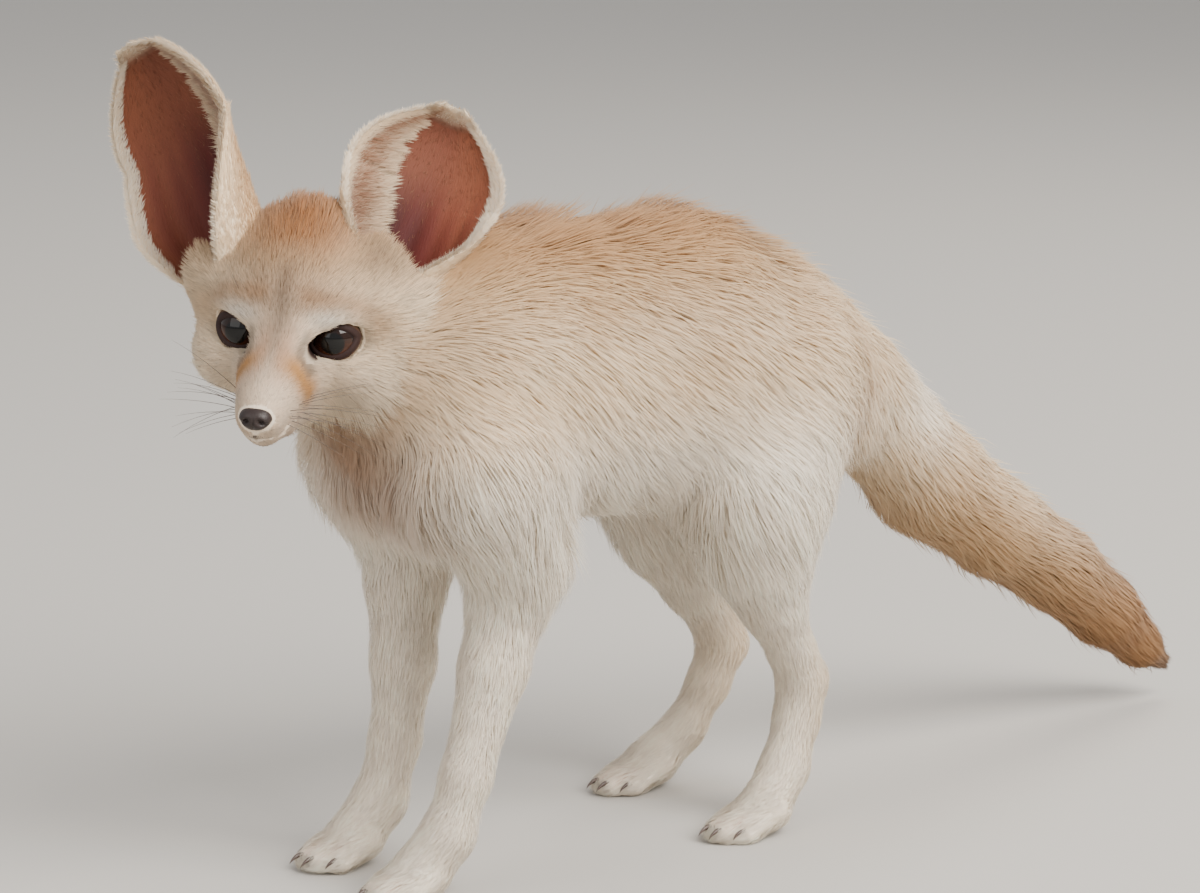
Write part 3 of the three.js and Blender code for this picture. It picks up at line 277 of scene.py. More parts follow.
# %% [markdown]
# ## Muscle and coat over the joints
# The barrel is narrower than it is high, and the skull is a handful of eggs, because its planes
# are what makes a fox's face.
# %% The form of the coat
def toes(joint, sizes):
    shapes = []
    for across, reach, radius in sizes:
        root = (joint[0] + across * 0.75, joint[1], 8, radius + 1)
        tip = (joint[0] + across, joint[1] - reach, radius - TOE_FLAT, radius)
        shapes.append(limb(root, tip))
    return shapes


def leg(joints, sizes):
    return join([chain(joints, 5), *toes(joints[-1], sizes)], 3)


def ear_root(ear):
    axis = unit(np.subtract(ear["tip"], ear["root"]))
    start = np.array(ear["root"]) - axis * 6
    end = np.array(ear["root"]) + axis * 7
    return limb((*start, EAR_ROOT_RADIUS + 1.5), (*end, EAR_ROOT_RADIUS))


barrel = narrowed(
    join(
        [
            limb((0, -48, 158, 47), (0, 22, 157, 47)),
            limb((0, 22, 157, 47), (0, 58, 150, 38)),
            limb((0, 58, 150, 38), (0, 84, 140, 27)),
            egg((0, -60, 149), (43, 44, 47)),
        ],
        8,
    ),
    0.9,
)
neck = limb((0, -66, 163, 39), (-15, -104, 175, 26))
tail_root = limb((0, 84, 144, 24), (1.7, 118, 128, 15))
head_shape = join(
    [
        egg((0, 24, 5), (25.5, 27, 26)),  # cranium
        egg((0, 31, 12), (20, 20, 22)),  # crown
        egg((0, 13, 6), (20, 19, 17.5)),  # forehead
        egg((13, 7, 7), (10, 9, 7)),  # brows
        egg((-13, 7, 7), (10, 9, 7)),
        egg((17, 15, -11), (15, 17, 13)),  # cheeks
        egg((-17, 15, -11), (15, 17, 13)),
        limb((0, -2, -9, 14), (0, -30, -14.5, 6.6)),  # muzzle
        limb((0, 2, -1, 10), (0, -32, -12.5, 4.6)),  # bridge of the nose
        limb((0, 8, -19, 12), (0, -25, -21, 4.6)),  # lower jaw
        ear_root(EARS[1]),
        ear_root(EARS[-1]),
    ],
    7,
)
trunk = join([barrel, neck, tail_root], 16)
head_field = lambda p: head_shape(to_head(p).astype(np.float32))
LEG_FIELDS = {
    ("fore", 1): leg(FORE_LEGS[1], FORE_TOES),
    ("fore", -1): leg(FORE_LEGS[-1], FORE_TOES),
    ("hind", 1): leg(HIND_LEGS[1], HIND_TOES),
    ("hind", -1): leg(HIND_LEGS[-1], HIND_TOES),
}
tail_field = chain(TAIL, 5)
coat_field = join([join([join([trunk, head_field], 9), *LEG_FIELDS.values()], 10), tail_field], 5)
over_withers = np.array([[0.0, -50.0, 220.0]])
print("height of the withers:", (over_withers[:, 2] - coat_field(over_withers)).round(1), "mm")

# %% [markdown]
# ## How the hair lies
# Hair streams back from the nose, over the cheeks and down the sides. Guides stand for what a
# hand feels when it strokes the fox: at each guide, the way the hair points, how deep the coat
# is over the skin and how long the hair is. Everywhere else is a blend of the nearest guides.
# The coat is deepest on the neck, the chest and the tail, and very short on face and feet.
# %% Guides of the coat
guides = []  # place, direction, depth of the coat, length of its hair


def guide(place, way, depth, length):
    guides.append((*place, *unit(way), depth, length))


def head_guide(place, way, depth, length):
    guide(from_head(place), head_way(way), depth, length)


def both(kind, place, way, depth, length):
    for side in (1, -1):
        kind((side * place[0], *place[1:]), (side * way[0], *way[1:]), depth, length)


guide((0, -60, 205), (0, 1, -0.05), 10, 20)  # withers
guide((0, -20, 205), (0, 1, 0), 10, 21)
guide((0, 20, 204), (0, 1, -0.05), 10, 21)  # back
guide((0, 58, 190), (0, 1, -0.35), 10, 21)  # rump
guide((0, 92, 168), (0, 0.8, -0.6), 9, 20)
guide((0, 0, 110), (0, 1, -0.1), 8, 18)  # belly
guide((0, -75, 108), (0, 0.6, -0.8), 9, 20)  # chest between the legs
guide((0, -104, 134), (0, 0.1, -1), 10, 22)  # front of the chest
guide((-8, -116, 152), (0, 0.1, -1), 9, 19)  # throat
both(guide, (30, -30, 192), (0.35, 0.9, -0.45), 10, 21)
both(guide, (32, 25, 190), (0.3, 0.9, -0.45), 10, 21)
both(guide, (42, -45, 165), (0.1, 0.75, -0.7), 10, 22)  # shoulder blade
both(guide, (42, -5, 160), (0.05, 0.85, -0.6), 10, 22)  # flank
both(guide, (40, 30, 155), (0, 0.8, -0.65), 10, 22)
both(guide, (36, -12, 128), (-0.1, 0.7, -0.75), 9, 22)  # lower flank
both(guide, (30, 12, 116), (-0.1, 0.6, -0.8), 8, 20)
both(guide, (32, 62, 160), (0.1, 0.7, -0.75), 10, 21)  # haunch
both(guide, (22, 86, 145), (0.1, 0.6, -0.85), 9, 20)
both(guide, (42, 44, 122), (0.05, 0.3, -1), 7, 16)  # thigh
both(guide, (30, 66, 118), (0, 0.35, -1), 8, 18)  # back of the thigh
both(guide, (38, -80, 145), (0.1, 0.4, -0.95), 9, 19)  # point of the shoulder
both(guide, (40, -66, 124), (0.05, 0.25, -1), 6, 14)
both(guide, (28, -40, 110), (0, 0.6, -0.8), 7, 18)  # elbow
guide((32, -96, 176), (0.15, 0.85, -0.55), 9, 19)  # side of the neck
guide((30, -100, 155), (0.1, 0.5, -0.85), 9, 20)
guide((-42, -88, 176), (-0.25, 0.75, -0.6), 9, 19)
guide((-40, -96, 155), (-0.15, 0.4, -0.9), 9, 20)
guide((-8, -84, 206), (0.1, 1, 0), 8, 15)  # nape


def limb_guides(joints, coats):
    """Guides down a limb or the tail: depth and length of the hair at some of its joints."""
    for i, (depth, length) in coats.items():
        after = joints[min(i + 1, len(joints) - 1)]
        before = joints[i] if after is not joints[i] else joints[i - 1]
        guide(joints[i][:3], np.subtract(after[:3], before[:3]), depth, length)


for side in (1, -1):
    limb_guides(FORE_LEGS[side], {1: (4.5, 10), 2: (3, 7.5), 3: (2.2, 6), 4: (2, 5.5), 5: (2, 6)})
    limb_guides(
        HIND_LEGS[side],
        {2: (4.5, 10), 3: (2.8, 7), 4: (2, 5.5), 5: (2, 5.5), 6: (1.9, 5.2), 7: (1.9, 5.5)},
    )
    for joints in (FORE_LEGS[side], HIND_LEGS[side]):
        ball = joints[-1]
        guide((ball[0], ball[1], 12), (0, -1, -0.1), 2.1, 6.5)
        guide((ball[0], ball[1] - 14, 6), (0, -1, -0.3), 2.0, 6)
limb_guides(
    TAIL,
    {0: (8, 19), 1: (9, 22), 2: (10, 25), 3: (9, 26), 4: (8, 26), 5: (7, 24), 6: (5, 18), 7: (2, 12)},
)

head_guide((0, -33, -9), (0, 1, 0.25), 0.7, 1.6)  # behind the nose
head_guide((0, -20, -3), (0, 1, 0.35), 0.9, 2.4)  # bridge
head_guide((0, -6, 6), (0, 0.85, 0.5), 1.3, 3.4)
head_guide((0, 4, 20), (0, 0.75, 0.65), 2, 5)  # forehead
head_guide((0, 18, 29), (0, 1, 0.35), 3.2, 8)  # crown
head_guide((0, 38, 33), (0, 1, 0), 5, 11)
both(head_guide, (8, -24, -14), (0.2, 1, -0.05), 0.8, 2.4)  # side of the muzzle
both(head_guide, (11, -12, -12), (0.3, 1, -0.15), 1, 3.2)
both(head_guide, (13, -6, -4), (0.5, 0.8, -0.4), 0.9, 2.6)  # under the inner corner of the eye
both(head_guide, (17, -3, -10), (0.6, 0.8, -0.35), 1.3, 4)
both(head_guide, (10, -1, 10), (0.35, 0.7, 0.6), 1.2, 3.2)  # brow
both(head_guide, (17, 1, 11), (0.6, 0.6, 0.5), 1.2, 3.4)
both(head_guide, (25, 8, 2), (0.5, 0.85, 0), 2, 5)  # behind the eye
both(head_guide, (24, 6, -14), (0.45, 0.85, -0.35), 3, 7)  # cheek
both(head_guide, (29, 20, -16), (0.35, 0.8, -0.5), 5.5, 12)  # ruff of the cheek
both(head_guide, (24, 28, -24), (0.25, 0.75, -0.65), 6.5, 14)
both(head_guide, (22, 14, 18), (0.3, 0.75, 0.55), 2.2, 5)  # temple, towards the ear
both(head_guide, (30, 30, 16), (0.5, 0.8, 0.3), 3, 7)
head_guide((0, -26, -25), (0, 1, -0.2), 1, 2.6)  # chin
head_guide((0, -6, -30), (0, 1, -0.3), 2, 5)
head_guide((0, 14, -32), (0, 0.8, -0.6), 5, 12)
GUIDES = np.array(guides, np.float32)
SKIN_SHARE = 0.75  # soft hair lies down on itself, so the skin is nearer than its full depth
GUIDE_BLEND = 45.0  # square millimetres; more makes the blend of neighbouring guides softer
print("guides of the coat:", len(GUIDES))


def combed(p):
    """The way of the hair, the coat's depth and the hair's length at each point."""
    total = np.zeros((len(p), 5), np.float32)
    weight = np.zeros((len(p), 1), np.float32)
    for row in GUIDES:
        d = ((p - row[:3]) ** 2).sum(1, keepdims=True) + GUIDE_BLEND
        w = 1 / (d * d)
        total += w * row[3:]
        weight += w
    total /= weight
    return total[:, :3], total[:, 3], total[:, 4]


# %% [markdown]
# ## Finding the skin under the coat
# The skin lies under the fur by the depth of the coat: a centimetre on the back, less than a
# millimetre on the nose. So the skin is the place where the coat's distance plus that depth is
# zero. The eye sockets, the ear canals and the line of the mouth are cut into it.
# %% Mouth and ear canals
SOCKET_RADIUS = 8.3
EYE_LOOKS, LID_SLANT = (0.15, -0.97, 0.0), 0.2  # the way the left eye looks, and how its lids slant
MOUTH = [(0, -35.5, -19.3), (3.5, -32.6, -19.6), (7.5, -27, -20), (10.8, -18.5, -20.2)]
MOUTH_GROOVE, LIP_THICKNESS, LIP_DROP = 0.42, 0.9, 1.15
LIPS = (  # share of the mouth's width, how far behind its line, above or below it, thickness on the way
    (0.9, 0.9, 1, (1, 1, 0.7, 0.1)),
    (0.87, 1.6, -1, (0.8, 0.8, 0.5, 0.1)),
)
# The hollow of an ear: way along the ear, radius, way ahead, way towards the front margin.
CANAL = [(2, 4, 0, 0), (8, 8.5, 1.5, 0), (15, 12, 3, 0), (28, 13.5, 5, 0), (46, 15, 8, 0)]
NOTCH = [(3.5, 5, 9, -6), (12, 8.5, 12, -5), (28, 11, 16, -2)]  # the open front of the funnel
OPENING = (7.3, 5.3, 4.7)  # half width of the opening of the lids, its height above and below
ROUNDNESS = 2.3  # 2 would make the opening an ellipse, more makes its corners fuller
CUP_SHARE, CUP_WALL, CUP_FLARE, CUP_LEAN = 0.27, 2.4, 0.38, 0.31  # the hollow inside an ear's walls
HEAD_REACH = 75  # no part of the face lies further than this from the middle of the eyes
LIP_BLEND, GROOVE_BLEND, LIDS_BLEND, CANAL_BLEND, CUP_BLEND = 1.5, 0.4, 1.6, 2, 1.5
CELL = 1.4
BLOCK = 6


def ear_axes(ear):
    axis = unit(np.subtract(ear["tip"], ear["root"]))
    faces = np.array(ear["faces"], float)
    face = unit(faces - axis * (faces @ axis))
    return axis, face


def capsules(points, radii):
    ends = [(*point, radius) for point, radius in zip(points, radii)]
    return join([limb(first, second) for first, second in zip(ends[:-1], ends[1:])], 0.01)


def lip(line, width, behind, up, shares):
    middle = [(x * width, y + behind, z + up * LIP_DROP) for x, y, z in line]
    return capsules(middle, [LIP_THICKNESS * share for share in shares])


canals = []
for side, ear in EARS.items():
    axis, face = ear_axes(ear)
    frontwards = np.cross(axis, face) * -side
    for way in (CANAL, NOTCH):
        points = [
            np.array(ear["root"]) + axis * along + face * ahead + frontwards * aside
            for along, _, ahead, aside in way
        ]
        canals.append(capsules(points, [radius for _, radius, _, _ in way]))
mouth_parts = {}
for side in (1, -1):
    line = [(side * x, y, z) for x, y, z in MOUTH]
    mouth_parts[side] = (capsules(line, [MOUTH_GROOVE] * len(line)), *(lip(line, *form) for form in LIPS))
print("rods cut into the ears:", len(canals))

# %% [markdown]
# ## Windows and hollows
# The almond of an eye and the hollow of an ear are distances too, so the face is carved with
# them and the hair kept off them.
# %% Openings
def carve(field, hole, softness):
    overlap = np.maximum(softness - np.abs(field + hole), 0) / softness
    return np.maximum(field, -hole) + overlap * overlap * softness / 4


def eye_axes(side):
    """The ways ahead, outwards and upwards of an eye, in the frame of the head."""
    ahead = unit((EYE_LOOKS[0] * side, EYE_LOOKS[1], EYE_LOOKS[2]))
    outer = np.array([side, 0, LID_SLANT])
    outer = unit(outer - ahead * (outer @ ahead))
    upper = np.cross(outer, ahead) * -side
    return ahead, outer, upper


def in_eye_frame(h, side):
    """How far a place is ahead of the middle of an eye, outwards and upwards of it."""
    d = h - np.array([side * EYE_SPACING / 2, EYE_DEPTH, 0])
    return [d @ way for way in eye_axes(side)]


def lid_opening(h, side, grow=0.0):
    """Below zero in the almond-shaped window in front of an eye."""
    ahead, outwards, rise = in_eye_frame(h, side)
    high = np.where(rise > 0, OPENING[1], OPENING[2]) + grow
    shape = (np.abs(outwards) / (OPENING[0] + grow)) ** ROUNDNESS + (np.abs(rise) / high) ** ROUNDNESS
    edge = (shape ** (1 / ROUNDNESS) - 1) * OPENING[2]
    return np.maximum(edge, np.abs(ahead - 9) - 9)


def in_cup(h):
    """Below zero in the hollow of an ear, above zero in its walls and outside it."""
    gaps = []
    for ear in EARS.values():
        axis, face = ear_axes(ear)
        d = h - np.array(ear["root"])
        along, ahead, aside = d @ axis, d @ face, d @ np.cross(axis, face)
        risen = np.clip(along, 0, 30)
        radius = ear["width"] * CUP_SHARE - CUP_WALL + risen * CUP_FLARE
        aside_gap = np.sqrt(aside**2 + np.minimum(ahead - risen * CUP_LEAN, 0) ** 2) - radius
        gaps.append(np.maximum(aside_gap, np.maximum(4 - along, ahead - 8 - 0.3 * risen)))
    return np.min(gaps, 0)


print("window of an eye:", 2 * OPENING[0], "mm wide")

# %% [markdown]
# ## The skin itself
# The lips are added and the openings cut away, but only near the head, to save time.
# %% The field of the skin
def skin_field(p):
    """Below zero inside the skin: the coat's field, moved in by the depth of the coat and carved."""
    skin = coat_field(p) + combed(p)[1] * SKIN_SHARE
    near = ((p - HEAD_AT) ** 2).sum(1) < HEAD_REACH**2
    if near.any():
        h = to_head(p[near]).astype(np.float32)
        face = skin[near]
        for side in (1, -1):
            groove, *both_lips = mouth_parts[side]
            for one_lip in both_lips:
                other = one_lip(h)
                overlap = np.maximum(LIP_BLEND - np.abs(face - other), 0) / LIP_BLEND
                face = np.minimum(face, other) - overlap * overlap * LIP_BLEND / 4
            face = carve(face, groove(h), GROOVE_BLEND)
            centre = np.array([side * EYE_SPACING / 2, EYE_DEPTH, 0], np.float32)
            face = np.maximum(face, SOCKET_RADIUS - np.linalg.norm(h - centre, axis=1))
            face = carve(face, lid_opening(h, side), LIDS_BLEND)
        for canal in canals:
            face = carve(face, canal(h), CANAL_BLEND)
        face = carve(face, in_cup(h), CUP_BLEND)
        skin[near] = face
    return skin


def in_pieces(field, p, size=120000):
    p = p.astype(np.float32)
    return np.concatenate([field(p[i : i + size]) for i in range(0, len(p), size)])


print("the skin lies up to", GUIDES[:, 6].max() * SKIN_SHARE, "mm under the coat")

# %% [markdown]
# ## From the field to a mesh
# Cells are tested in two rounds, coarse blocks first, so only a thin band is worked out.
# %% Values near the skin
HALF_DIAGONAL, BAND = 0.87, 2.5  # of a cube with sides of 1, and a margin for the coat's depth
LOWEST_SKIN = 0.05  # the soles lie just above the floor
reach_low = np.array([-56.0, -172.0, -6.0])
reach_high = np.array([56.0, 288.0, 222.0])
blocks = np.ceil((reach_high - reach_low) / (CELL * BLOCK)).astype(int)
fine = blocks * BLOCK + 1
block_index = np.stack(np.meshgrid(*[np.arange(n) for n in blocks], indexing="ij"), -1).reshape(-1, 3)
block_middle = reach_low + (block_index + 0.5) * CELL * BLOCK
rough = in_pieces(skin_field, block_middle)
values = np.repeat(np.repeat(np.repeat(rough.reshape(blocks), BLOCK, 0), BLOCK, 1), BLOCK, 2)
values = np.pad(values, ((0, 1),) * 3, mode="edge").astype(np.float32)
near = np.abs(rough) < CELL * BLOCK * HALF_DIAGONAL + BAND
corner = np.stack(np.meshgrid(*[np.arange(BLOCK + 1)] * 3, indexing="ij"), -1).reshape(-1, 3)
wanted = np.zeros(fine, bool)
picked = (block_index[near][:, None, :] * BLOCK + corner[None]).reshape(-1, 3)
wanted[tuple(picked.T)] = True
wanted_at = np.argwhere(wanted)
values[wanted] = in_pieces(skin_field, reach_low + wanted_at * CELL)
print("blocks near the skin:", int(near.sum()), "grid points:", len(wanted_at))

# %% [markdown]
# ## A net over the grid
# A cell that the surface crosses gets one corner, at the mean of its crossings, and a grid edge
# that it crosses gets one face.
# %% Net of the skin
def surface_net(values, origin, cell):
    """Four-sided faces where the values cross zero, with one corner in each cell they cross."""
    inside = values < 0
    count = np.array(values.shape) - 1
    cell_slices = lambda d: tuple(slice(d[k], d[k] + count[k]) for k in range(3))
    offsets = [(i, j, k) for i in (0, 1) for j in (0, 1) for k in (0, 1)]
    number = sum(inside[cell_slices(d)].astype(np.int8) for d in offsets)
    cells = np.argwhere((number > 0) & (number < 8))
    index = np.full(count, -1, np.int64)
    index[tuple(cells.T)] = np.arange(len(cells))
    total = np.zeros((len(cells), 3))
    crossings = np.zeros((len(cells), 1))
    for axis in range(3):
        step = np.eye(3, dtype=int)[axis]
        for d in offsets:
            if d[axis]:
                continue
            a = values[tuple((cells + d).T)]
            b = values[tuple((cells + d + step).T)]
            cross = (a < 0) != (b < 0)
            t = np.where(cross, a / np.where(cross, a - b, 1), 0)
            total += np.where(cross[:, None], np.array(d) + t[:, None] * step, 0)
            crossings += cross[:, None]
    corners = origin + (cells + total / crossings) * cell
    faces = []
    for axis in range(3):
        step = np.eye(3, dtype=int)[axis]
        u, v = np.eye(3, dtype=int)[(axis + 1) % 3], np.eye(3, dtype=int)[(axis + 2) % 3]
        upto = [values.shape[k] - step[k] for k in range(3)]
        first = inside[: upto[0], : upto[1], : upto[2]]
        second = inside[step[0] :, step[1] :, step[2] :]
        edges = np.argwhere(first != second)
        edges = edges[((edges > 0) | (step == 1)).all(1) & (edges < count).all(1)]
        ring = np.stack([index[tuple((edges - s).T)] for s in (u + v, v, 0 * u, u)], 1)
        leaving = first[tuple(edges.T)]
        ring[~leaving] = ring[~leaving][:, ::-1]
        faces.append(ring)
    faces = np.concatenate(faces)
    return corners, faces[(faces >= 0).all(1)]


skin_points, skin_faces = surface_net(values, reach_low, CELL)
print("skin corners:", len(skin_points), "faces:", len(skin_faces))

# %% [markdown]
# ## Onto the skin
# The corners slide along the slope of the field until they lie on the skin exactly.
# %% Slide the corners
SLOPE_STEP = 0.25
TETRAHEDRON = np.array([(1, 1, 1), (1, -1, -1), (-1, 1, -1), (-1, -1, 1)], float)


def slope(field, p, step=SLOPE_STEP):
    total = sum(t * in_pieces(field, p + t * step)[:, None] for t in TETRAHEDRON)
    return total / (4 * step)


def settled(points, rounds=2):
    for _ in range(rounds):
        g = slope(skin_field, points)
        move = -in_pieces(skin_field, points)[:, None] * g / np.maximum((g * g).sum(1, keepdims=True), 0.3)
        points = points + np.clip(move, -CELL, CELL)
    return points


net_points = skin_points
skin_points = settled(net_points)
skin_points[:, 2] = np.maximum(skin_points[:, 2], LOWEST_SKIN)
print("corners slid by up to", np.abs(skin_points - net_points).max().round(2), "mm")


def mesh_from(name, points, faces):
    mesh = bpy.data.meshes.new(name)
    points = to_frame(points)
    width = faces.shape[1]
    mesh.vertices.add(len(points))
    mesh.vertices.foreach_set("co", points.astype(np.float32).ravel())
    mesh.loops.add(faces.size)
    mesh.loops.foreach_set("vertex_index", faces.astype(np.int32).ravel())
    mesh.polygons.add(len(faces))
    mesh.polygons.foreach_set("loop_start", np.arange(0, faces.size, width, dtype=np.int32))
    mesh.polygons.foreach_set("use_smooth", np.ones(len(faces), bool))
    mesh.update(calc_edges=True)
    return mesh


# %% [markdown]
# ## Ears
# The ears of this desert fox shed heat and catch the rustle of beetles under the sand. Each is
# a thin cup, rolled into a funnel at its root and opening upwards. One sheet of points, bent
# round the axis of the ear, gives the back of the cup; the same sheet drawn inwards by the
# thickness of the ear gives its inside, with the folds that run up from the canal.
# %% Sheets of the ears
EAR_COLUMNS, EAR_ROWS = 52, 60
EAR_INSET, EAR_WALL, EAR_EDGE = 0.5, 1.9, 0.45  # depth of the back, thickness, thickness at the rim
EAR_TOP, EAR_MARGIN = 0.992, 0.985  # how far the sheet reaches along the ear and across it
EAR_FOLDS = (  # place across the ear, width, height
    (0.04, 0.1, 1.3),
    (-0.2, 0.09, 1.7),
    (-0.42, 0.1, 1.5),
    (-0.66, 0.1, 1.0),
)
FOLD_LEAN = 0.12  # the folds drift sideways on their way up
RIM_ACROSS, RIM_ALONG = 0.12, 0.04  # the sheet thins this near to its margins and its tip
EAR_ROUNDED_FROM = 0.6
WRAP_ROOT, WRAP_BLADE, WRAP_LOSS = 150, 62, 14  # degrees, from the middle of the sheet to a margin


def ear_half_width(t):
    return 0.5 * (0.54 + 0.46 * np.sin(math.pi * np.minimum(1, np.maximum(0, t) * 0.88) ** 1.1))


def ear_point(ear, side, along, across, depth):
    """A place in the wall of an ear: along runs from 0 to 1, across from -1, the rear, to 1."""
    axis, face = ear_axes(ear)
    frontwards = np.cross(axis, face) * -side
    past = np.maximum(0, along - EAR_ROUNDED_FROM) / (1 - EAR_ROUNDED_FROM)
    taper = np.sqrt(np.maximum(0, 1 - past * past))
    opened = np.minimum(1, np.maximum(0, along * 1.8))
    wrap = np.radians(WRAP_ROOT + (WRAP_BLADE - WRAP_ROOT) * opened - WRAP_LOSS * along)
    half = np.maximum(0.4, ear["width"] * ear_half_width(along) * taper)
    radius = half / np.sin(np.minimum(wrap, math.pi / 2))
    reach = radius - depth
    length = np.linalg.norm(np.subtract(ear["tip"], ear["root"]))
    forward = np.maximum(0, radius - ear["width"] * ear_half_width(0)) * 0.8
    angle = wrap * across
    return from_head(
        np.array(ear["root"])
        + axis * (along * length)[..., None]
        + frontwards * (reach * np.sin(angle))[..., None]
        + face * (forward - reach * np.cos(angle))[..., None]
    )


def fold_ridges(along, across):
    """For each fold, 1 on its crest and less beside it."""
    return [np.exp(-(((across - at + FOLD_LEAN * along) / width) ** 2)) for at, width, _ in EAR_FOLDS]


def ear_sheet(ear, side):
    """Corners and faces of an ear, back first and inside after it, and where each corner is."""
    up_the_ear = np.linspace(-0.02, EAR_TOP, EAR_ROWS)
    round_the_ear = np.sin(np.linspace(-1, 1, EAR_COLUMNS) * math.pi / 2) * EAR_MARGIN
    along, across = np.meshgrid(up_the_ear, round_the_ear, indexing="ij")
    rim = np.clip((1 - np.abs(across)) / RIM_ACROSS, 0, 1) * np.clip((EAR_TOP - along) / RIM_ALONG, 0, 1)
    folds = sum(
        height * ridge * np.clip(1.15 - along * 1.6, 0, 1)
        for (_, _, height), ridge in zip(EAR_FOLDS, fold_ridges(along, across))
    )
    inside = EAR_INSET + EAR_EDGE + (EAR_WALL - EAR_EDGE) * np.sqrt(rim) + folds * rim
    outer = ear_point(ear, side, along, across, np.full_like(along, EAR_INSET))
    inner = ear_point(ear, side, along, across, inside)
    rows, columns = along.shape
    number = np.arange(rows * columns).reshape(rows, columns)
    quads = np.stack([number[:-1, :-1], number[:-1, 1:], number[1:, 1:], number[1:, :-1]], -1)
    quads = quads.reshape(-1, 4)
    edge = np.concatenate([number[0, :-1], number[:-1, -1], number[-1, :0:-1], number[:0:-1, 0]])
    after = np.roll(edge, -1)
    far = rows * columns
    strip = np.stack([edge, after, after + far, edge + far], 1)
    faces = np.concatenate([quads, quads[:, ::-1] + far, strip[:, ::-1]])
    points = np.concatenate([outer.reshape(-1, 3), inner.reshape(-1, 3)])
    middle = points[faces].mean(1)
    corners = points[faces]
    normal = np.cross(corners[:, 2] - corners[:, 0], corners[:, 3] - corners[:, 1])
    volume = (middle * normal).sum()
    if volume < 0:
        faces = faces[:, ::-1]
    return points, faces, np.tile(along.ravel(), 2), np.tile(across.ravel(), 2)


ear_parts = {side: ear_sheet(ear, side) for side, ear in EARS.items()}
print("ear corners:", sum(len(part[0]) for part in ear_parts.values()))

# %% [markdown]
# ## Eyes and lids
# A fox's eye is a ball set deep in its socket; only an almond of it shows. The lids are a thin
# roll of dark skin that rests on the ball, so the ring of the lid starts on the ball's surface,
# swells into the rim, and runs back under the skin of the face.
# %% Lid rings
LID_HALF_WIDTH, LID_UPPER, LID_LOWER = 7.6, 5.3, 4.6
LID_REACH = 9.2  # a place on this ball in front of the eye tells how far a lid leans
LID_STEPS = 72
LID_RINGS = (  # share of the opening's size, distance from the middle of the ball
    *((0.90, 7.35), (0.985, 7.66), (1.0, 7.95), (1.05, 8.3)),
    *((1.14, 8.5), (1.28, 8.62), (1.5, 8.5), (1.8, 8.0)),
)


def lid_rings(side):
    ahead, outer, upper = eye_axes(side)
    centre = np.array([side * EYE_SPACING / 2, EYE_DEPTH, 0])
    angle = np.linspace(0, 2 * math.pi, LID_STEPS, endpoint=False)
    rise = np.sin(angle) * np.abs(np.sin(angle)) ** 0.25 * np.where(np.sin(angle) > 0, LID_UPPER, LID_LOWER)
    across = np.cos(angle) * LID_HALF_WIDTH
    flat = across[:, None] * outer + rise[:, None] * upper
    size = np.linalg.norm(flat, axis=1, keepdims=True)
    rings = []
    for spread, radius in LID_RINGS:
        tilt = np.arcsin(np.clip(size / LID_REACH, 0, 0.97)) * spread
        way = ahead * np.cos(tilt) + flat / size * np.sin(tilt)
        rings.append(centre + way * radius)
    points = from_head(np.concatenate(rings))
    number = np.arange(len(points)).reshape(len(rings), LID_STEPS)
    after = np.roll(number, -1, axis=1)
    faces = np.stack([number[:-1], after[:-1], after[1:], number[1:]], -1).reshape(-1, 4)
    corners = points[faces]
    normal = np.cross(corners[:, 2] - corners[:, 0], corners[:, 3] - corners[:, 1])
    if (normal * (corners.mean(1) - from_head(centre))).sum() < 0:
        faces = faces[:, ::-1]
    return points, faces


lids = {side: lid_rings(side) for side in (1, -1)}
print("lid corners:", sum(len(points) for points, _ in lids.values()))

# %% [markdown]
# ## One skin
# Body, ears and lids are one object, because on the animal they are one skin.
# %% Join the skin
def joined(pieces):
    points, faces, start = [], [], 0
    for piece_points, piece_faces in pieces:
        points.append(piece_points)
        faces.append(piece_faces + start)
        start += len(piece_points)
    return np.concatenate(points), np.concatenate(faces)


all_points, all_faces = joined(
    [(skin_points, skin_faces), *[part[:2] for part in ear_parts.values()], *lids.values()]
)
skin_mesh = mesh_from("skin", all_points, all_faces)
skin = bpy.data.objects.new("skin", skin_mesh)
bpy.context.scene.collection.objects.link(skin)
print("skin faces:", len(all_faces))

# %% [markdown]
# ## Eyeballs and nose
# A fox of the night has a large dark iris that leaves hardly any white in view, and here its
# lower half is amber where the light falls through it. Rings of corners round the line of sight
# give the pupil and the iris their round edges, so their colours can sit on the corners. The
# nose pad is an egg, pressed in at the nostrils and at the groove between them.
# %% Balls, eyes and nose
def ball_mesh(rings, steps):
    polar = np.linspace(0, math.pi, rings + 1)[1:-1]
    turn_by = np.linspace(0, 2 * math.pi, steps, endpoint=False)
    p, t = np.meshgrid(polar, turn_by, indexing="ij")
    points = np.stack([np.sin(p) * np.cos(t), np.sin(p) * np.sin(t), np.cos(p)], -1).reshape(-1, 3)
    points = np.concatenate([points, [(0, 0, 1), (0, 0, -1)]])
    number = np.arange((rings - 1) * steps).reshape(rings - 1, steps)
    after = np.roll(number, -1, axis=1)
    faces = np.stack([number[:-1], number[1:], after[1:], after[:-1]], -1).reshape(-1, 4)
    top, bottom = len(points) - 2, len(points) - 1
    caps = [(top, int(a), int(b)) for a, b in zip(number[0], after[0])]
    caps += [(bottom, int(b), int(a)) for a, b in zip(number[-1], after[-1])]
    return points, faces, caps


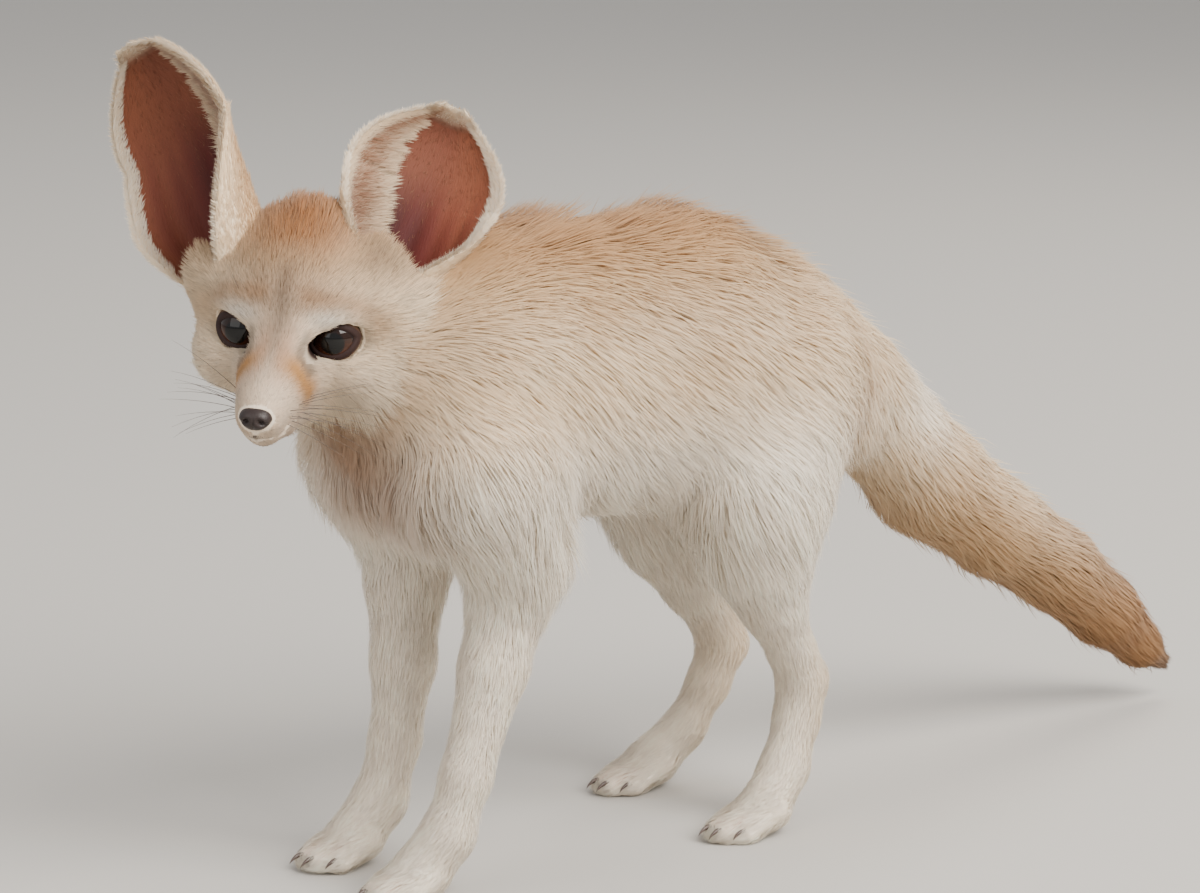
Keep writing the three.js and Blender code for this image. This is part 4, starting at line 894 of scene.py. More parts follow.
def object_from(name, points, faces, caps=()):
    mesh = bpy.data.meshes.new(name)
    mesh.from_pydata(to_frame(points).tolist(), [], [*map(tuple, np.asarray(faces).tolist()), *caps])
    mesh.polygons.foreach_set("use_smooth", np.ones(len(mesh.polygons), bool))
    mesh.update(calc_edges=True)
    thing = bpy.data.objects.new(name, mesh)
    bpy.context.scene.collection.objects.link(thing)
    return thing


EYE_RINGS, EYE_STEPS = 72, 72
unit_ball, ball_faces, ball_caps = ball_mesh(EYE_RINGS, EYE_STEPS)
eyes = {}
for side, name in ((1, "left"), (-1, "right")):
    ahead, outer, upper = eye_axes(side)
    turned = unit_ball[:, :1] * outer + unit_ball[:, 1:2] * upper * side + unit_ball[:, 2:] * ahead
    place = eye_centre(side) + head_way(turned * EYE_RADIUS)
    eyes[side] = object_from("eyeball_" + name, place, ball_faces, ball_caps)

NOSE_AT = np.array([0, -35.5, -13.2])
NOSE_HALF = np.array([5, 4.2, 3.6])
NOSE_RINGS, NOSE_STEPS = 56, 80
NOSTRIL_ASIDE, NOSTRIL_DEPTH, SLIT_ASIDE, SLIT_DEPTH, GROOVE_DEPTH = 2.3, 1.9, 4.0, 1.0, 0.55
nose_ball, nose_faces, nose_caps = ball_mesh(NOSE_RINGS, NOSE_STEPS)
pad = nose_ball[:, [0, 2, 1]] * (1, -1, 1)
front = np.clip(-pad[:, 1], 0, 1)
shape = pad * NOSE_HALF
squared = np.sign(pad[:, 0]) * np.abs(pad[:, 0]) ** 0.85
shape[:, 0] = squared * NOSE_HALF[0] * (1 - 0.22 * np.clip(-pad[:, 2], 0, 1))
for side in (1, -1):
    off, rise = shape[:, 0] - side * NOSTRIL_ASIDE, shape[:, 2] + 0.1
    nostril = np.exp(-((off / 1.0) ** 2) - ((rise + side * 0.35 * off) / 0.8) ** 2)
    slit_off, slit_rise = shape[:, 0] - side * SLIT_ASIDE, shape[:, 2] + 0.9
    slit = np.exp(-((slit_off / 1.5) ** 2) - (slit_rise / 0.5) ** 2)
    shape[:, 1] += (NOSTRIL_DEPTH * nostril + SLIT_DEPTH * slit) * front
groove = np.exp(-((shape[:, 0] / 0.35) ** 2))
shape[:, 1] += GROOVE_DEPTH * groove * front * np.clip(0.6 - pad[:, 2], 0, 1)
nose = object_from("nose", from_head(NOSE_AT + shape), nose_faces, nose_caps)
print("corners of an eye:", len(unit_ball), "and of the nose:", len(nose_ball))

# %% [markdown]
# ## Claws
# A fennec's claws are small and dark, and the hair between its toes hides most of them. Each is
# a horn that curves down from the end of its toe: rings of corners along a bent line, closed at
# both ends. All sixteen are one mesh.
# %% Claws
CLAW_STATIONS = (  # behind the end of the toe, above it, half the thickness
    (4.2, 0.2, 0.9),
    (2.4, 0.8, 0.95),
    (1.0, 0.9, 0.85),
    (-0.3, 0.6, 0.7),
    (-1.4, 0.0, 0.5),
    (-2.2, -0.7, 0.3),
    (-2.6, -1.3, 0.12),
)
CLAW_SIDES, CLAW_FLATNESS, LOWEST_CLAW = 10, 0.8, 0.1
claw_points, claw_faces = [], []
for legs, sizes in ((FORE_LEGS, FORE_TOES), (HIND_LEGS, HIND_TOES)):
    for side in (1, -1):
        ball = legs[side][-1]
        for across, reach, radius in sizes:
            tip = np.array([ball[0] + across, ball[1] - reach - radius, radius - 0.4])
            first = len(claw_points)
            for behind, rise, thick in CLAW_STATIONS:
                for k in range(CLAW_SIDES):
                    angle = 2 * math.pi * k / CLAW_SIDES
                    aside = math.cos(angle) * thick * CLAW_FLATNESS
                    claw_points.append(tip + (aside, behind, rise + math.sin(angle) * thick))
            for i in range(len(CLAW_STATIONS) - 1):
                for k in range(CLAW_SIDES):
                    j = (k + 1) % CLAW_SIDES
                    a, b = first + i * CLAW_SIDES, first + (i + 1) * CLAW_SIDES
                    claw_faces.append((a + k, b + k, b + j, a + j))
            claw_faces.append(tuple(range(first, first + CLAW_SIDES)))
            last = first + (len(CLAW_STATIONS) - 1) * CLAW_SIDES
            claw_faces.append(tuple(range(last + CLAW_SIDES - 1, last - 1, -1)))
claw_points = np.array(claw_points)
claw_points[:, 2] = np.maximum(claw_points[:, 2], LOWEST_CLAW)
claws = bpy.data.objects.new("claws", bpy.data.meshes.new("claws"))
claws.data.from_pydata(to_frame(claw_points).tolist(), [], claw_faces)
claws.data.polygons.foreach_set("use_smooth", np.ones(len(claws.data.polygons), bool))
bpy.context.scene.collection.objects.link(claws)
print("claws:", len(claw_faces) // ((len(CLAW_STATIONS) - 1) * CLAW_SIDES + 2))

# %% [markdown]
# ## Whiskers
# Long stiff hairs grow from dark spots on the muzzle and a few over each eye. Each one is drawn
# as a bent line of a few corners. A tree of nodes then turns every line into a thin tube that
# narrows to its tip, so one number sets how thick they all are.
# %% Lines of the whiskers
WHISKER_ROWS = (  # height on the muzzle, how many, shortest, longest
    (-13.5, 4, 21, 37),
    (-15.5, 5, 24, 42),
    (-17.5, 4, 20, 34),
)
BROW_WHISKERS = ((11, -1.5, 10.5, 11), (13.5, -0.5, 11.2, 14))  # root, length
WHISKER_STEPS = 7
whisker_random = np.random.default_rng(5)
whisker_points, whisker_edges = [], []


def whisker(root, way, length, droop):
    first = len(whisker_points)
    way = unit(way)
    for k in range(WHISKER_STEPS):
        s = k / (WHISKER_STEPS - 1)
        whisker_points.append(np.array(root) + way * length * s + np.array([0, 0.25, -1]) * droop * s * s)
    whisker_edges.extend((first + k, first + k + 1) for k in range(WHISKER_STEPS - 1))


for side in (1, -1):
    for row, (height, count, shortest, longest) in enumerate(WHISKER_ROWS):
        for k in range(count):
            share = k / (count - 1)
            back = -26 + 11 * share + 0.8 * whisker_random.normal()
            half = 6.6 + 4.0 * (back + 28) / 16
            backwards = 0.25 + 0.35 * share + 0.1 * whisker_random.normal()
            upwards = 0.2 - 0.28 * row + 0.06 * whisker_random.normal()
            way = (side * (0.85 - 0.15 * share), backwards, upwards)
            length = shortest + (longest - shortest) * share
            whisker((side * half, back, height), way, length, length * 0.14)
    for x, y, z, length in BROW_WHISKERS:
        way = (side * (0.3 + 0.03 * (x - 9)), -0.5 + 0.05 * x, 0.85)
        whisker((side * x, y, z), way, length, length * 0.2)
whisker_lines = bpy.data.objects.new("whiskers", bpy.data.meshes.new("whiskers"))
whisker_lines.data.from_pydata(to_frame(from_head(np.array(whisker_points))).tolist(), whisker_edges, [])
bpy.context.scene.collection.objects.link(whisker_lines)
print("whiskers:", len(whisker_points) // WHISKER_STEPS)

# %% [markdown]
# ## Thickness for the whiskers
# The tree takes the lines in, runs a ring along each of them, smaller towards the tip, and gives
# plain tubes. Its inputs are the radius at the root, the share of it left at the tip and the
# number of sides.
# %% The tree that gives every line its thickness
ROOT_RADIUS, TIP_SHARE, HAIR_SIDES = 0.00011, 0.2, 6  # metres, share of the radius, corners of a ring
horn = plain_material("horn", (0.075, 0.05, 0.04), 0.4)
bristle = plain_material("bristle", (0.06, 0.04, 0.032), 0.45)
tree = bpy.data.node_groups.new("tapered_hairs", "GeometryNodeTree")
tree.interface.new_socket("Lines", in_out="INPUT", socket_type="NodeSocketGeometry")
root_radius = tree.interface.new_socket("Root radius", in_out="INPUT", socket_type="NodeSocketFloat")
tip_share = tree.interface.new_socket("Tip share", in_out="INPUT", socket_type="NodeSocketFloat")
sides = tree.interface.new_socket("Sides", in_out="INPUT", socket_type="NodeSocketInt")
tree.interface.new_socket("Hairs", in_out="OUTPUT", socket_type="NodeSocketGeometry")
nodes, links = tree.nodes, tree.links
source, result = nodes.new("NodeGroupInput"), nodes.new("NodeGroupOutput")
to_curve = nodes.new("GeometryNodeMeshToCurve")
along = nodes.new("GeometryNodeSplineParameter")
narrow = nodes.new("ShaderNodeMapRange")
thickness = nodes.new("ShaderNodeMath")
thickness.operation = "MULTIPLY"
profile = nodes.new("GeometryNodeCurvePrimitiveCircle")
profile.inputs["Radius"].default_value = 1.0
tube = nodes.new("GeometryNodeCurveToMesh")
tube.inputs["Fill Caps"].default_value = True
realize = nodes.new("GeometryNodeRealizeInstances")
paint = nodes.new("GeometryNodeSetMaterial")
paint.inputs["Material"].default_value = bristle
narrow.inputs["To Min"].default_value = 1.0
links.new(source.outputs["Lines"], to_curve.inputs["Mesh"])
links.new(along.outputs["Factor"], narrow.inputs["Value"])
links.new(source.outputs["Tip share"], narrow.inputs["To Max"])
links.new(narrow.outputs["Result"], thickness.inputs[0])
links.new(source.outputs["Root radius"], thickness.inputs[1])
links.new(to_curve.outputs["Curve"], tube.inputs["Curve"])
links.new(thickness.outputs["Value"], tube.inputs["Scale"])
links.new(source.outputs["Sides"], profile.inputs["Resolution"])
links.new(profile.outputs["Curve"], tube.inputs["Profile Curve"])
links.new(tube.outputs["Mesh"], realize.inputs["Geometry"])
links.new(realize.outputs["Geometry"], paint.inputs["Geometry"])
links.new(paint.outputs["Geometry"], result.inputs["Hairs"])
modifier = whisker_lines.modifiers.new("hairs", "NODES")
modifier.node_group = tree
modifier[root_radius.identifier] = ROOT_RADIUS
modifier[tip_share.identifier] = TIP_SHARE
modifier[sides.identifier] = HAIR_SIDES
evaluated = whisker_lines.evaluated_get(bpy.context.evaluated_depsgraph_get())
whiskers = whisker_lines
tubes = bpy.data.meshes.new_from_object(evaluated)
whiskers.modifiers.clear()
whiskers.data = tubes
print("faces of the whiskers:", len(tubes.polygons))

# %% [markdown]
# ## Markings
# The fox is the colour of its sand. Hairs are palest on the belly, legs and face, sandy on the
# back and the nape, rufous between the ears and golden towards the end of the tail. The same
# functions of the place on the body colour the skin and the hair over it.
# %% Palette and ways to blend
def linear(r, g, b):
    return np.array([((c + 0.055) / 1.055) ** 2.4 if c > 0.04 else c / 12.92 for c in (r, g, b)])


CREAM = linear(0.93, 0.86, 0.75)
WHITE = linear(0.97, 0.94, 0.895)
BUFF = linear(0.79, 0.65, 0.475)
GOLDEN = linear(0.67, 0.50, 0.335)
RUFOUS = linear(0.70, 0.48, 0.30)
ORANGE = linear(0.76, 0.56, 0.31)
GREY = linear(0.52, 0.43, 0.36)
DARK_HAIR = linear(0.33, 0.25, 0.20)
# SHADE: a warm brown, used as painted shade on the chest, the forehead and the front of the face, and as the
# tan of the outer rings of the lids
SHADE = linear(0.66, 0.50, 0.37)
LIP_DARK = linear(0.17, 0.11, 0.10)
EAR_PINK = linear(0.42, 0.235, 0.17)
EAR_LIT_ORANGE = linear(0.49, 0.285, 0.20)
EAR_RED = linear(0.33, 0.125, 0.115)
EAR_HAIR = linear(0.66, 0.49, 0.385)
MAROON = linear(0.20, 0.06, 0.065)
TOE_PINK = linear(0.74, 0.52, 0.45)


def blend(colour, other, share):
    """The colours, moved towards another one by a share from 0 to 1 at each place."""
    return colour + (other - colour) * np.clip(share, 0, 1)[:, None]


def spot(p, centre, radii):
    """1 at a centre, fading to 0 past these radii."""
    return np.exp(-((((p - np.array(centre)) / np.array(radii)) ** 2).sum(1)))


def step_up(x, low, high):
    """0 up to low, 1 from high on, and a smooth rise between them."""
    t = np.clip((x - low) / (high - low), 0, 1)
    return t * t * (3 - 2 * t)


def waves(p, size, salt):
    """Three smooth random numbers at each place, about -1 to 1, that change over this distance."""
    random = np.random.default_rng(salt)
    total = np.zeros((len(p), 3))
    for _ in range(5):
        way = unit(random.normal(size=3)) * 2 * math.pi / size
        total += np.sin(p @ way + random.uniform(0, 6.28))[:, None] * random.normal(0, 0.4, 3)
    return total


def near_line(p, points):
    best = np.full(len(p), 1e9)
    share = np.zeros(len(p))
    for i in range(len(points) - 1):
        a, b = np.array(points[i][:3], float), np.array(points[i + 1][:3], float)
        along = b - a
        t = np.clip((p - a) @ along / (along @ along), 0, 1)
        d = np.linalg.norm(p - a - t[:, None] * along, axis=1)
        closer = d < best
        best = np.where(closer, d, best)
        share = np.where(closer, (i + t) / (len(points) - 1), share)
    return best, share


print("light in the cream of the coat:", CREAM.round(2))

# %% [markdown]
# ## Trunk, legs and tail
# Sand on top, cream down the sides and white below. Slow waves break up the borders, because no
# marking of a fox has a hard edge.
# %% Colours of the trunk and the tail
def body_colour(p):
    """Colour of the coat at a place of the trunk or the legs."""
    _, y, z = p.T
    colour = np.tile(CREAM, (len(p), 1))
    back = step_up(z, 166, 202) * step_up(y, -140, -90)
    colour = blend(colour, BUFF, 0.95 * back)
    for side in (1, -1):
        neck_side = spot(p, (side * 36 - 4, -86, 176), (16, 24, 20))
        colour = blend(colour, BUFF, 0.12 * neck_side)
        flank = spot(p, (side * 42, 6, 172), (18, 34, 13))
        colour = blend(colour, GOLDEN, 0.14 * flank)
        haunch = spot(p, (side * 30, 74, 140), (14, 18, 24))
        colour = blend(colour, BUFF, 0.45 * haunch)
        colour = blend(colour, BUFF, 0.5 * spot(p, (side * 24, -52, 92), (8, 7, 18)))
    colour = blend(colour, RUFOUS, 0.3 * step_up(z, 190, 206))
    colour = blend(colour, BUFF, 0.3 * np.clip(waves(p, 34, 3)[:, 0], 0, 1) * step_up(z, 96, 130))
    colour = blend(colour, WHITE, 0.9 * step_up(160 - z, 0, 35) * (1 - 0.6 * step_up(y, 50, 80)))
    # painted shade: the front of the chest is darkened with SHADE
    colour = blend(colour, SHADE, 0.9 * spot(p, (2, -112, 130), (24, 20, 34)))
    return colour


def tail_colour(share, up):
    """Colour of the tail: share runs from its root to its tip, up from its underside to its top."""
    colour = np.tile(CREAM, (len(share), 1))
    colour = blend(colour, WHITE, step_up(0.26 - share, 0, 0.2) * step_up(up, -0.6, 0.4))
    colour = blend(colour, BUFF, 0.85 * step_up(share, 0.08, 0.36) * step_up(-up, -0.9, 0.5))
    colour = blend(colour, GOLDEN, 0.9 * step_up(share, 0.34, 0.8))
    colour = blend(colour, ORANGE, 0.12 * step_up(share, 0.45, 0.85) * step_up(-up, -0.2, 0.7))
    colour = blend(colour, DARK_HAIR, 0.42 * step_up(share, 0.8, 1.05))
    return colour


print("colour of the withers:", body_colour(np.array([[0.0, -50.0, 206.0]])).round(2))

# %% [markdown]
# ## The face
# A buff band arches over each eye, with white below it. A short orange patch runs from the inner
# corner of the eye, and a faint grey streak lies between the eyes.
# %% Colours of the head
BROW_ARC = [(8, -4, 14.4), (17.9, 0.4, 12.9), (24, 3.5, 9.5), (27.6, 6, 5.2)]  # over the eye
TEAR_PATCH = [(7.4, -18.6, -3.2), (9.6, -17.8, -7), (11, -14.6, -11.5)]  # under its inner corner


def inner_corner_skin_and_shade(m):
    """Darker skin and painted shade close round the inner corner of an eye."""
    ahead, outwards, _ = in_eye_frame(m, 1)
    return step_up(2.7 - lid_opening(m, 1), 0, 1.4) * step_up(-outwards, 4.8, 6.8) * (ahead > 0)


def head_colour(h):
    """Colour of the coat at a place of the head, in the frame of the head."""
    x, y, z = h.T
    ax = np.abs(x)
    m = np.stack([ax, y, z], 1)
    colour = np.tile(WHITE, (len(h), 1))
    colour = blend(colour, CREAM, 0.55 + 0.4 * step_up(y, -20, 10))
    forehead = step_up(z, 4, 18) * step_up(y, -16, 0)
    # partly the forehead's own brown-grey hair, partly painted shade
    colour = blend(colour, SHADE, 0.42 * forehead * np.exp(-((x / 12) ** 4)))
    # painted shade over the front of the face and the muzzle
    colour = blend(colour, SHADE, 0.26 * step_up(-y, -6, 10))
    colour = blend(colour, BUFF, 0.6 * step_up(z, 8, 24) * step_up(y, -8, 6))
    crown = step_up(z, 12, 33) * step_up(y, -4, 14)
    colour = blend(colour, RUFOUS, 0.95 * crown * np.exp(-((x / 18) ** 2)))
    arc_gap, arc_share = near_line(m, BROW_ARC)
    colour = blend(colour, GOLDEN, 0.62 * np.exp(-((arc_gap / 4.0) ** 2)) * (1 - 0.35 * arc_share))
    colour = blend(colour, WHITE, 0.9 * spot(m, (13, -4.2, 7.6), (6, 6, 2.6)))
    streak = np.exp(-((x / 2.6) ** 2)) * step_up(y, -27, -14) * step_up(-y, -8, 3)
    colour = blend(colour, GREY, 0.5 * streak)
    bridge = np.exp(-(((ax - 3.5) / 3) ** 2)) * step_up(y, -32, -18) * step_up(-y, 2, 16)
    colour = blend(colour, RUFOUS, 0.4 * bridge)
    patch_gap, _ = near_line(m, TEAR_PATCH)
    colour = blend(colour, ORANGE, 0.92 * np.exp(-((patch_gap / 4.6) ** 2)))
    # dark skin and painted shade at the inner corner of each eye
    colour = blend(colour, LIP_DARK, 0.4 * inner_corner_skin_and_shade(m))
    colour = blend(colour, GREY, 0.7 * spot(m, (23.4, 2.4, 0.3), (2.2, 3.5, 2.0)))
    colour = blend(colour, BUFF, 0.5 * spot(m, (27, 16, 2), (7, 11, 8)))
    colour = blend(colour, GREY, 0.55 * spot(m, (24, 20, 20), (7, 8, 5)))
    colour = blend(colour, WHITE, 0.6 * spot(m, (24, 14, -18), (12, 14, 10)))
    return colour


print("colour of the crown:", head_colour(np.array([[0.0, 24.0, 34.0]])).round(2))


# %% [markdown]
# ## Which part a place belongs to
# A map of the skin needs one chart for each part. Every chart is a tube round the middle line
# of its part: the angle round the line and the way along it give the place on the map.
# %% Parts and their charts
PARTS = {  # name: (middle line, box of its chart on the map: left, bottom, width, height)
    "trunk": ([(0, -120, 160), (0, -60, 156), (0, 30, 154), (0, 100, 140)], (0.01, 0.41, 0.58, 0.58)),
    "head": (None, (0.61, 0.61, 0.38, 0.38)),
    "tail": (TAIL, (0.01, 0.01, 0.28, 0.38)),
    "fore_left": (FORE_LEGS[1], (0.31, 0.01, 0.15, 0.38)),
    "fore_right": (FORE_LEGS[-1], (0.48, 0.01, 0.15, 0.38)),
    "hind_left": (HIND_LEGS[1], (0.65, 0.01, 0.15, 0.38)),
    "hind_right": (HIND_LEGS[-1], (0.82, 0.01, 0.17, 0.38)),
    "ear_left": (None, (0.61, 0.41, 0.18, 0.18)),
    "ear_right": (None, (0.81, 0.41, 0.18, 0.18)),
}
PART_NAMES = list(PARTS)
BODY_NAMES = PART_NAMES[:7]  # all but the ears
trunk_only = join([barrel, neck], 16)


def part_of(p):
    """The number of the nearest part; a leg has to be 3 mm nearer than the trunk to win."""
    distances = [trunk_only(p), head_field(p) - 1.0, tail_field(p)]
    distances += [field(p) + 3 for field in LEG_FIELDS.values()]
    return np.argmin(np.stack(distances), 0)


def head_turns(h):
    return np.arctan2(h[:, 0], h[:, 2] + 8) / (2 * math.pi)


def head_along(h):
    return (h[:, 1] + 42) / 105


def chart_place(p, part):
    """Angle round the part's middle line in turns, and share of the way along it."""
    turns, along = np.zeros(len(p)), np.zeros(len(p))
    for number, name in enumerate(BODY_NAMES):
        mine = part == number
        if not mine.any():
            continue
        q = p[mine]
        if name == "head":
            h = to_head(q)
            turns[mine] = head_turns(h)
            along[mine] = np.clip(head_along(h), 0, 1)
            continue
        line = [point[:3] for point in PARTS[name][0]]
        _, share = near_line(q, line)
        station = share * (len(line) - 1)
        columns = [np.interp(station, range(len(line)), [c[k] for c in line]) for k in range(3)]
        middle = np.stack(columns, 1)
        off = q - middle
        across = off[:, 2] if name in ("trunk", "tail") else off[:, 1]
        turns[mine] = np.arctan2(off[:, 0], across) / (2 * math.pi)
        along[mine] = share
    return turns, along


def on_map(turns, along, part):
    boxes = np.array([PARTS[name][1] for name in PART_NAMES])[part]
    return np.stack([boxes[:, 0] + boxes[:, 2] * (turns + 0.5), boxes[:, 1] + boxes[:, 3] * along], 1)


print("charts:", ", ".join(PARTS))

# %% [markdown]
# ## A quick way to ask where the coat is
# Every tuft asks three or four times how far it is from the coat's surface and which way is out.
# Asking the full field each time would be slow, so its values are kept on a grid of 3 mm cells
# and blended between the eight corners of a cell.
# %% Grid of the coat's field
GRID_CELL = 3.0
grid_low = np.array([-75.0, -205.0, -9.0])
grid_size = np.array([51, 170, 81])
grid_steps = np.meshgrid(*[np.arange(n) for n in grid_size], indexing="ij")
grid_at = grid_low + np.stack(grid_steps, -1).reshape(-1, 3) * GRID_CELL
grid = in_pieces(coat_field, grid_at).reshape(grid_size)
grid_slope = np.stack(np.gradient(grid, GRID_CELL), -1)
grid_all = np.concatenate([grid[..., None], grid_slope], -1).astype(np.float32)


def sampled(p):
    """Distance to the coat's surface and its slope, read from the grid."""
    q = np.clip((p - grid_low) / GRID_CELL, 0, grid_size - 1.001)
    i = q.astype(int)
    f = (q - i).astype(np.float32)
    total = np.zeros((len(p), 4), np.float32)
    for dx in (0, 1):
        for dy in (0, 1):
            for dz in (0, 1):
                w = np.abs(1 - dx - f[:, 0]) * np.abs(1 - dy - f[:, 1]) * np.abs(1 - dz - f[:, 2])
                total += w[:, None] * grid_all[i[:, 0] + dx, i[:, 1] + dy, i[:, 2] + dz]
    return total[:, 0], unit(total[:, 1:])


print("grid of the coat:", grid_size, "cells")

# %% [markdown]
# ## Roots and locks
# Hair grows denser where it is short, so roots are strewn by area with a density that follows
# the length. Soft long hair clings together in locks: space is cut into uneven cells, and all
# hair with its root in one cell leans towards the middle of that cell and shares one bend.
# %% Roots strewn over the skin, and the locks they belong to
def face_areas(points, faces):
    corners = points[faces]
    diagonals = corners[:, 2] - corners[:, 0], corners[:, 3] - corners[:, 1]
    return 0.5 * np.linalg.norm(np.cross(*diagonals), axis=1)


def strewn(points, faces, density):
    """Random places on four-sided faces: density gives roots for each square millimetre."""
    wanted = face_areas(points, faces) * density
    count = np.floor(wanted + rng.random(len(wanted))).astype(int)
    which = np.repeat(np.arange(len(faces)), count)
    u, v = rng.random((2, len(which), 1))
    c = points[faces][which]
    return (c[:, 0] * (1 - u) + c[:, 1] * u) * (1 - v) + (c[:, 3] * (1 - u) + c[:, 2] * u) * v, which


def hashed(cells, salt):
    """Three repeatable random numbers from -1 to 1 for each whole-numbered cell."""
    h = cells[:, 0] * 73856093 ^ cells[:, 1] * 19349663 ^ cells[:, 2] * 83492791 ^ salt * 2654435761
    numbers = []
    for k in range(3):
        h = (h * 6364136223846793005 + 1442695040888963407 + k) & 0x7FFFFFFFFFFFFFFF
        numbers.append(((h >> 24) & 0xFFFFF) / 0xFFFFF * 2 - 1)
    return np.stack(numbers, 1)


def lock_centres(p, size, salt):
    """The middle of the lock that each root belongs to, and three random numbers of that lock."""
    cells = np.floor(p / size).astype(np.int64)
    return (cells + 0.5) * size + hashed(cells, salt) * size * 0.3, hashed(cells, salt + 1)


TUFTY = [  # where longer hair stands out: middle, radius, how much longer, how far out
    ((36, -56, 122), 20, 0.45, 5.5),  # above the left elbow
    ((-36, -60, 120), 18, 0.4, 4.5),
    ((24, -104, 128), 20, 0.35, 4.5),  # front of the chest
    ((0, -112, 140), 22, 0.35, 4.0),
    ((-26, -108, 134), 22, 0.35, 4.0),
    ((38, -14, 118), 22, 0.45, 5.0),  # lower edge of the flank
    ((36, 22, 118), 22, 0.4, 4.5),
    ((-36, 0, 118), 30, 0.4, 4.5),
    ((0, -50, 204), 24, 0.4, 7.5),  # withers
    ((0, 0, 206), 34, 0.3, 4.0),  # back
    ((0, 44, 200), 26, 0.25, 4.5),
    ((24, 82, 126), 18, 0.35, 3.5),  # behind the thighs
    ((-24, 84, 126), 18, 0.35, 3.5),
    ((33, -98, 165), 16, 0.3, 3.5),  # sides of the neck
    ((-42, -92, 165), 18, 0.3, 3.5),
    ((22, -54, 90), 9, 0.4, 1.6),  # back of the forearms
    ((-26, -58, 88), 9, 0.4, 1.6),
    (from_head((0, 20, 36)), 15, 0.5, 3.5),  # crown
    (from_head((27, 14, -20)), 11, 0.25, 2.0),  # ruff of the cheeks
    (from_head((-27, 14, -20)), 11, 0.25, 2.0),
]
for legs, sizes in ((FORE_LEGS, FORE_TOES), (HIND_LEGS, HIND_TOES)):
    for side in (1, -1):
        for across, reach, radius in sizes:  # hair over the toes and between them
            toe = legs[side][-1][:3] + np.array([across + 1.5, -reach, radius - legs[side][-1][2]])
            TUFTY.append((toe, 5, 0.5, 1.3))
print("places with longer hair:", len(TUFTY))

# %% [markdown]
# ## The path of a tuft
# A tuft leaves the skin, rises through the coat and lies down along it. Its path is followed in
# three steps: each step goes on in the way of the hair, then moves to the height that this part
# of the tuft has in the coat. Under-hair stays low and fills the gaps. Near the end of the tail
# the hair is let go, so that it runs straight on past the tip instead of closing round it.
# %% Follow each tuft from its root
LONG_STATIONS, SHORT_STATIONS = (0.0, 0.35, 0.7, 1.0), (0.0, 0.5, 1.0)
STATION_WIDTHS = {4: (0.9, 1.0, 0.75), 3: (1.0, 0.9)}
UNDER_SHARE = 0.35  # this share of the tufts is soft under-hair that fills the coat from below
UNDER_LENGTH, UNDER_TOP = 0.6, (0.6, 0.9)  # shares of the length of a tuft and of the coat's depth
BENDS = ((70, 41, 0.10), (25, 42, 0.08), (10, 43, 0.05))  # distance in mm, seed, strength
STRAYS, STRAY_RISE = 0.07, (0.1, 0.5)  # share of the tufts, and how far they stand out of the coat
ROOT_DEPTH = 0.4


def follow(roots, way, depth, length, lock_size, gather, frizz, stations, hold):
    """Centre points of the tufts at each station, and the normal of the coat there."""
    count = len(roots)
    long_locks, long_random = lock_centres(roots, lock_size, 11)
    short_locks, short_random = lock_centres(roots, lock_size * 0.4, 23)
    pull = (long_locks - roots) * 0.5 + (short_locks - roots) * 0.5
    bend = sum(waves(roots, size, salt) * strength for size, salt, strength in BENDS)
    bend = bend + long_random * 0.03 + short_random * 0.02
    way = unit(way + bend + rng.normal(0, 1, (count, 3)) * frizz[:, None])
    under = rng.random(count) < UNDER_SHARE
    length = length * (1 + 0.12 * long_random[:, 2] + 0.1 * rng.normal(0, 1, count))
    length = length * np.where(under, UNDER_LENGTH, 1)
    stand = np.zeros(count)
    tufted = np.zeros(count)
    for middle, radius, longer, out in TUFTY:
        share = spot(roots, middle, (radius,) * 3)
        length = length * (1 + longer * share)
        tufted = tufted + share * np.minimum(1, out / 4)
        stand = stand + out * share * np.clip(0.45 + 0.9 * long_random[:, 1], 0, 1.4)
    gather = gather * (1 + 2.2 * np.minimum(tufted, 1))
    stray = rng.random(count) < STRAYS
    stand = stand + stray * depth * rng.uniform(*STRAY_RISE, count)
    top = 1 + 0.07 * long_random[:, 0] + 0.05 * rng.normal(0, 1, count)
    top = np.where(under, rng.uniform(*UNDER_TOP, count), top)
    base, normal = sampled(roots)
    point = roots - normal * ROOT_DEPTH
    places, normals = [point], [normal]
    for k in range(1, len(stations)):
        s, step = stations[k], stations[k] - stations[k - 1]
        flat = unit(way - normal * (way * normal).sum(1, keepdims=True) * hold[:, None])
        point = point + flat * (length * step)[:, None]
        level = base * (1 - (1 - (1 - s) ** 3) * top) + np.where(under, 0, stand) * s * s
        gap, normal = sampled(point)
        point = point + normal * (hold * np.clip(level - gap, -6, 6))[:, None]
        sideways = pull - normal * (pull * normal).sum(1, keepdims=True)
        point = point + sideways * (gather * step)[:, None]
        places.append(point)
        normals.append(normal)
    return np.stack(places, 1), np.stack(normals, 1), long_random[:, 1]


WIDTH_RANGE, ROLL_SPREAD = (0.75, 1.2), 0.2


def ribbons(places, normals, width, roll):
    """Flat strips with a point at the tip: two corners at each station but the last."""
    along = np.gradient(places, axis=1)
    side = unit(np.cross(along, normals))
    side = unit(side * np.cos(roll)[:, None, None] + normals * np.sin(roll)[:, None, None])
    corners = []
    for k, share in enumerate(STATION_WIDTHS[places.shape[1]]):
        half = (width * share * 0.5)[:, None]
        corners += [places[:, k] - side[:, k] * half, places[:, k] + side[:, k] * half]
    corners.append(places[:, -1])
    return np.stack(corners, 1)


def at_corners(values):
    """Values at the stations of each tuft, repeated for the corners of its strip."""
    stations = values.shape[1]
    return values[:, [k // 2 for k in range(2 * stations - 2)] + [stations - 1]]


for stations in (LONG_STATIONS, SHORT_STATIONS):
    print("a tuft with", len(stations), "stations has", 2 * len(stations) - 1, "corners")

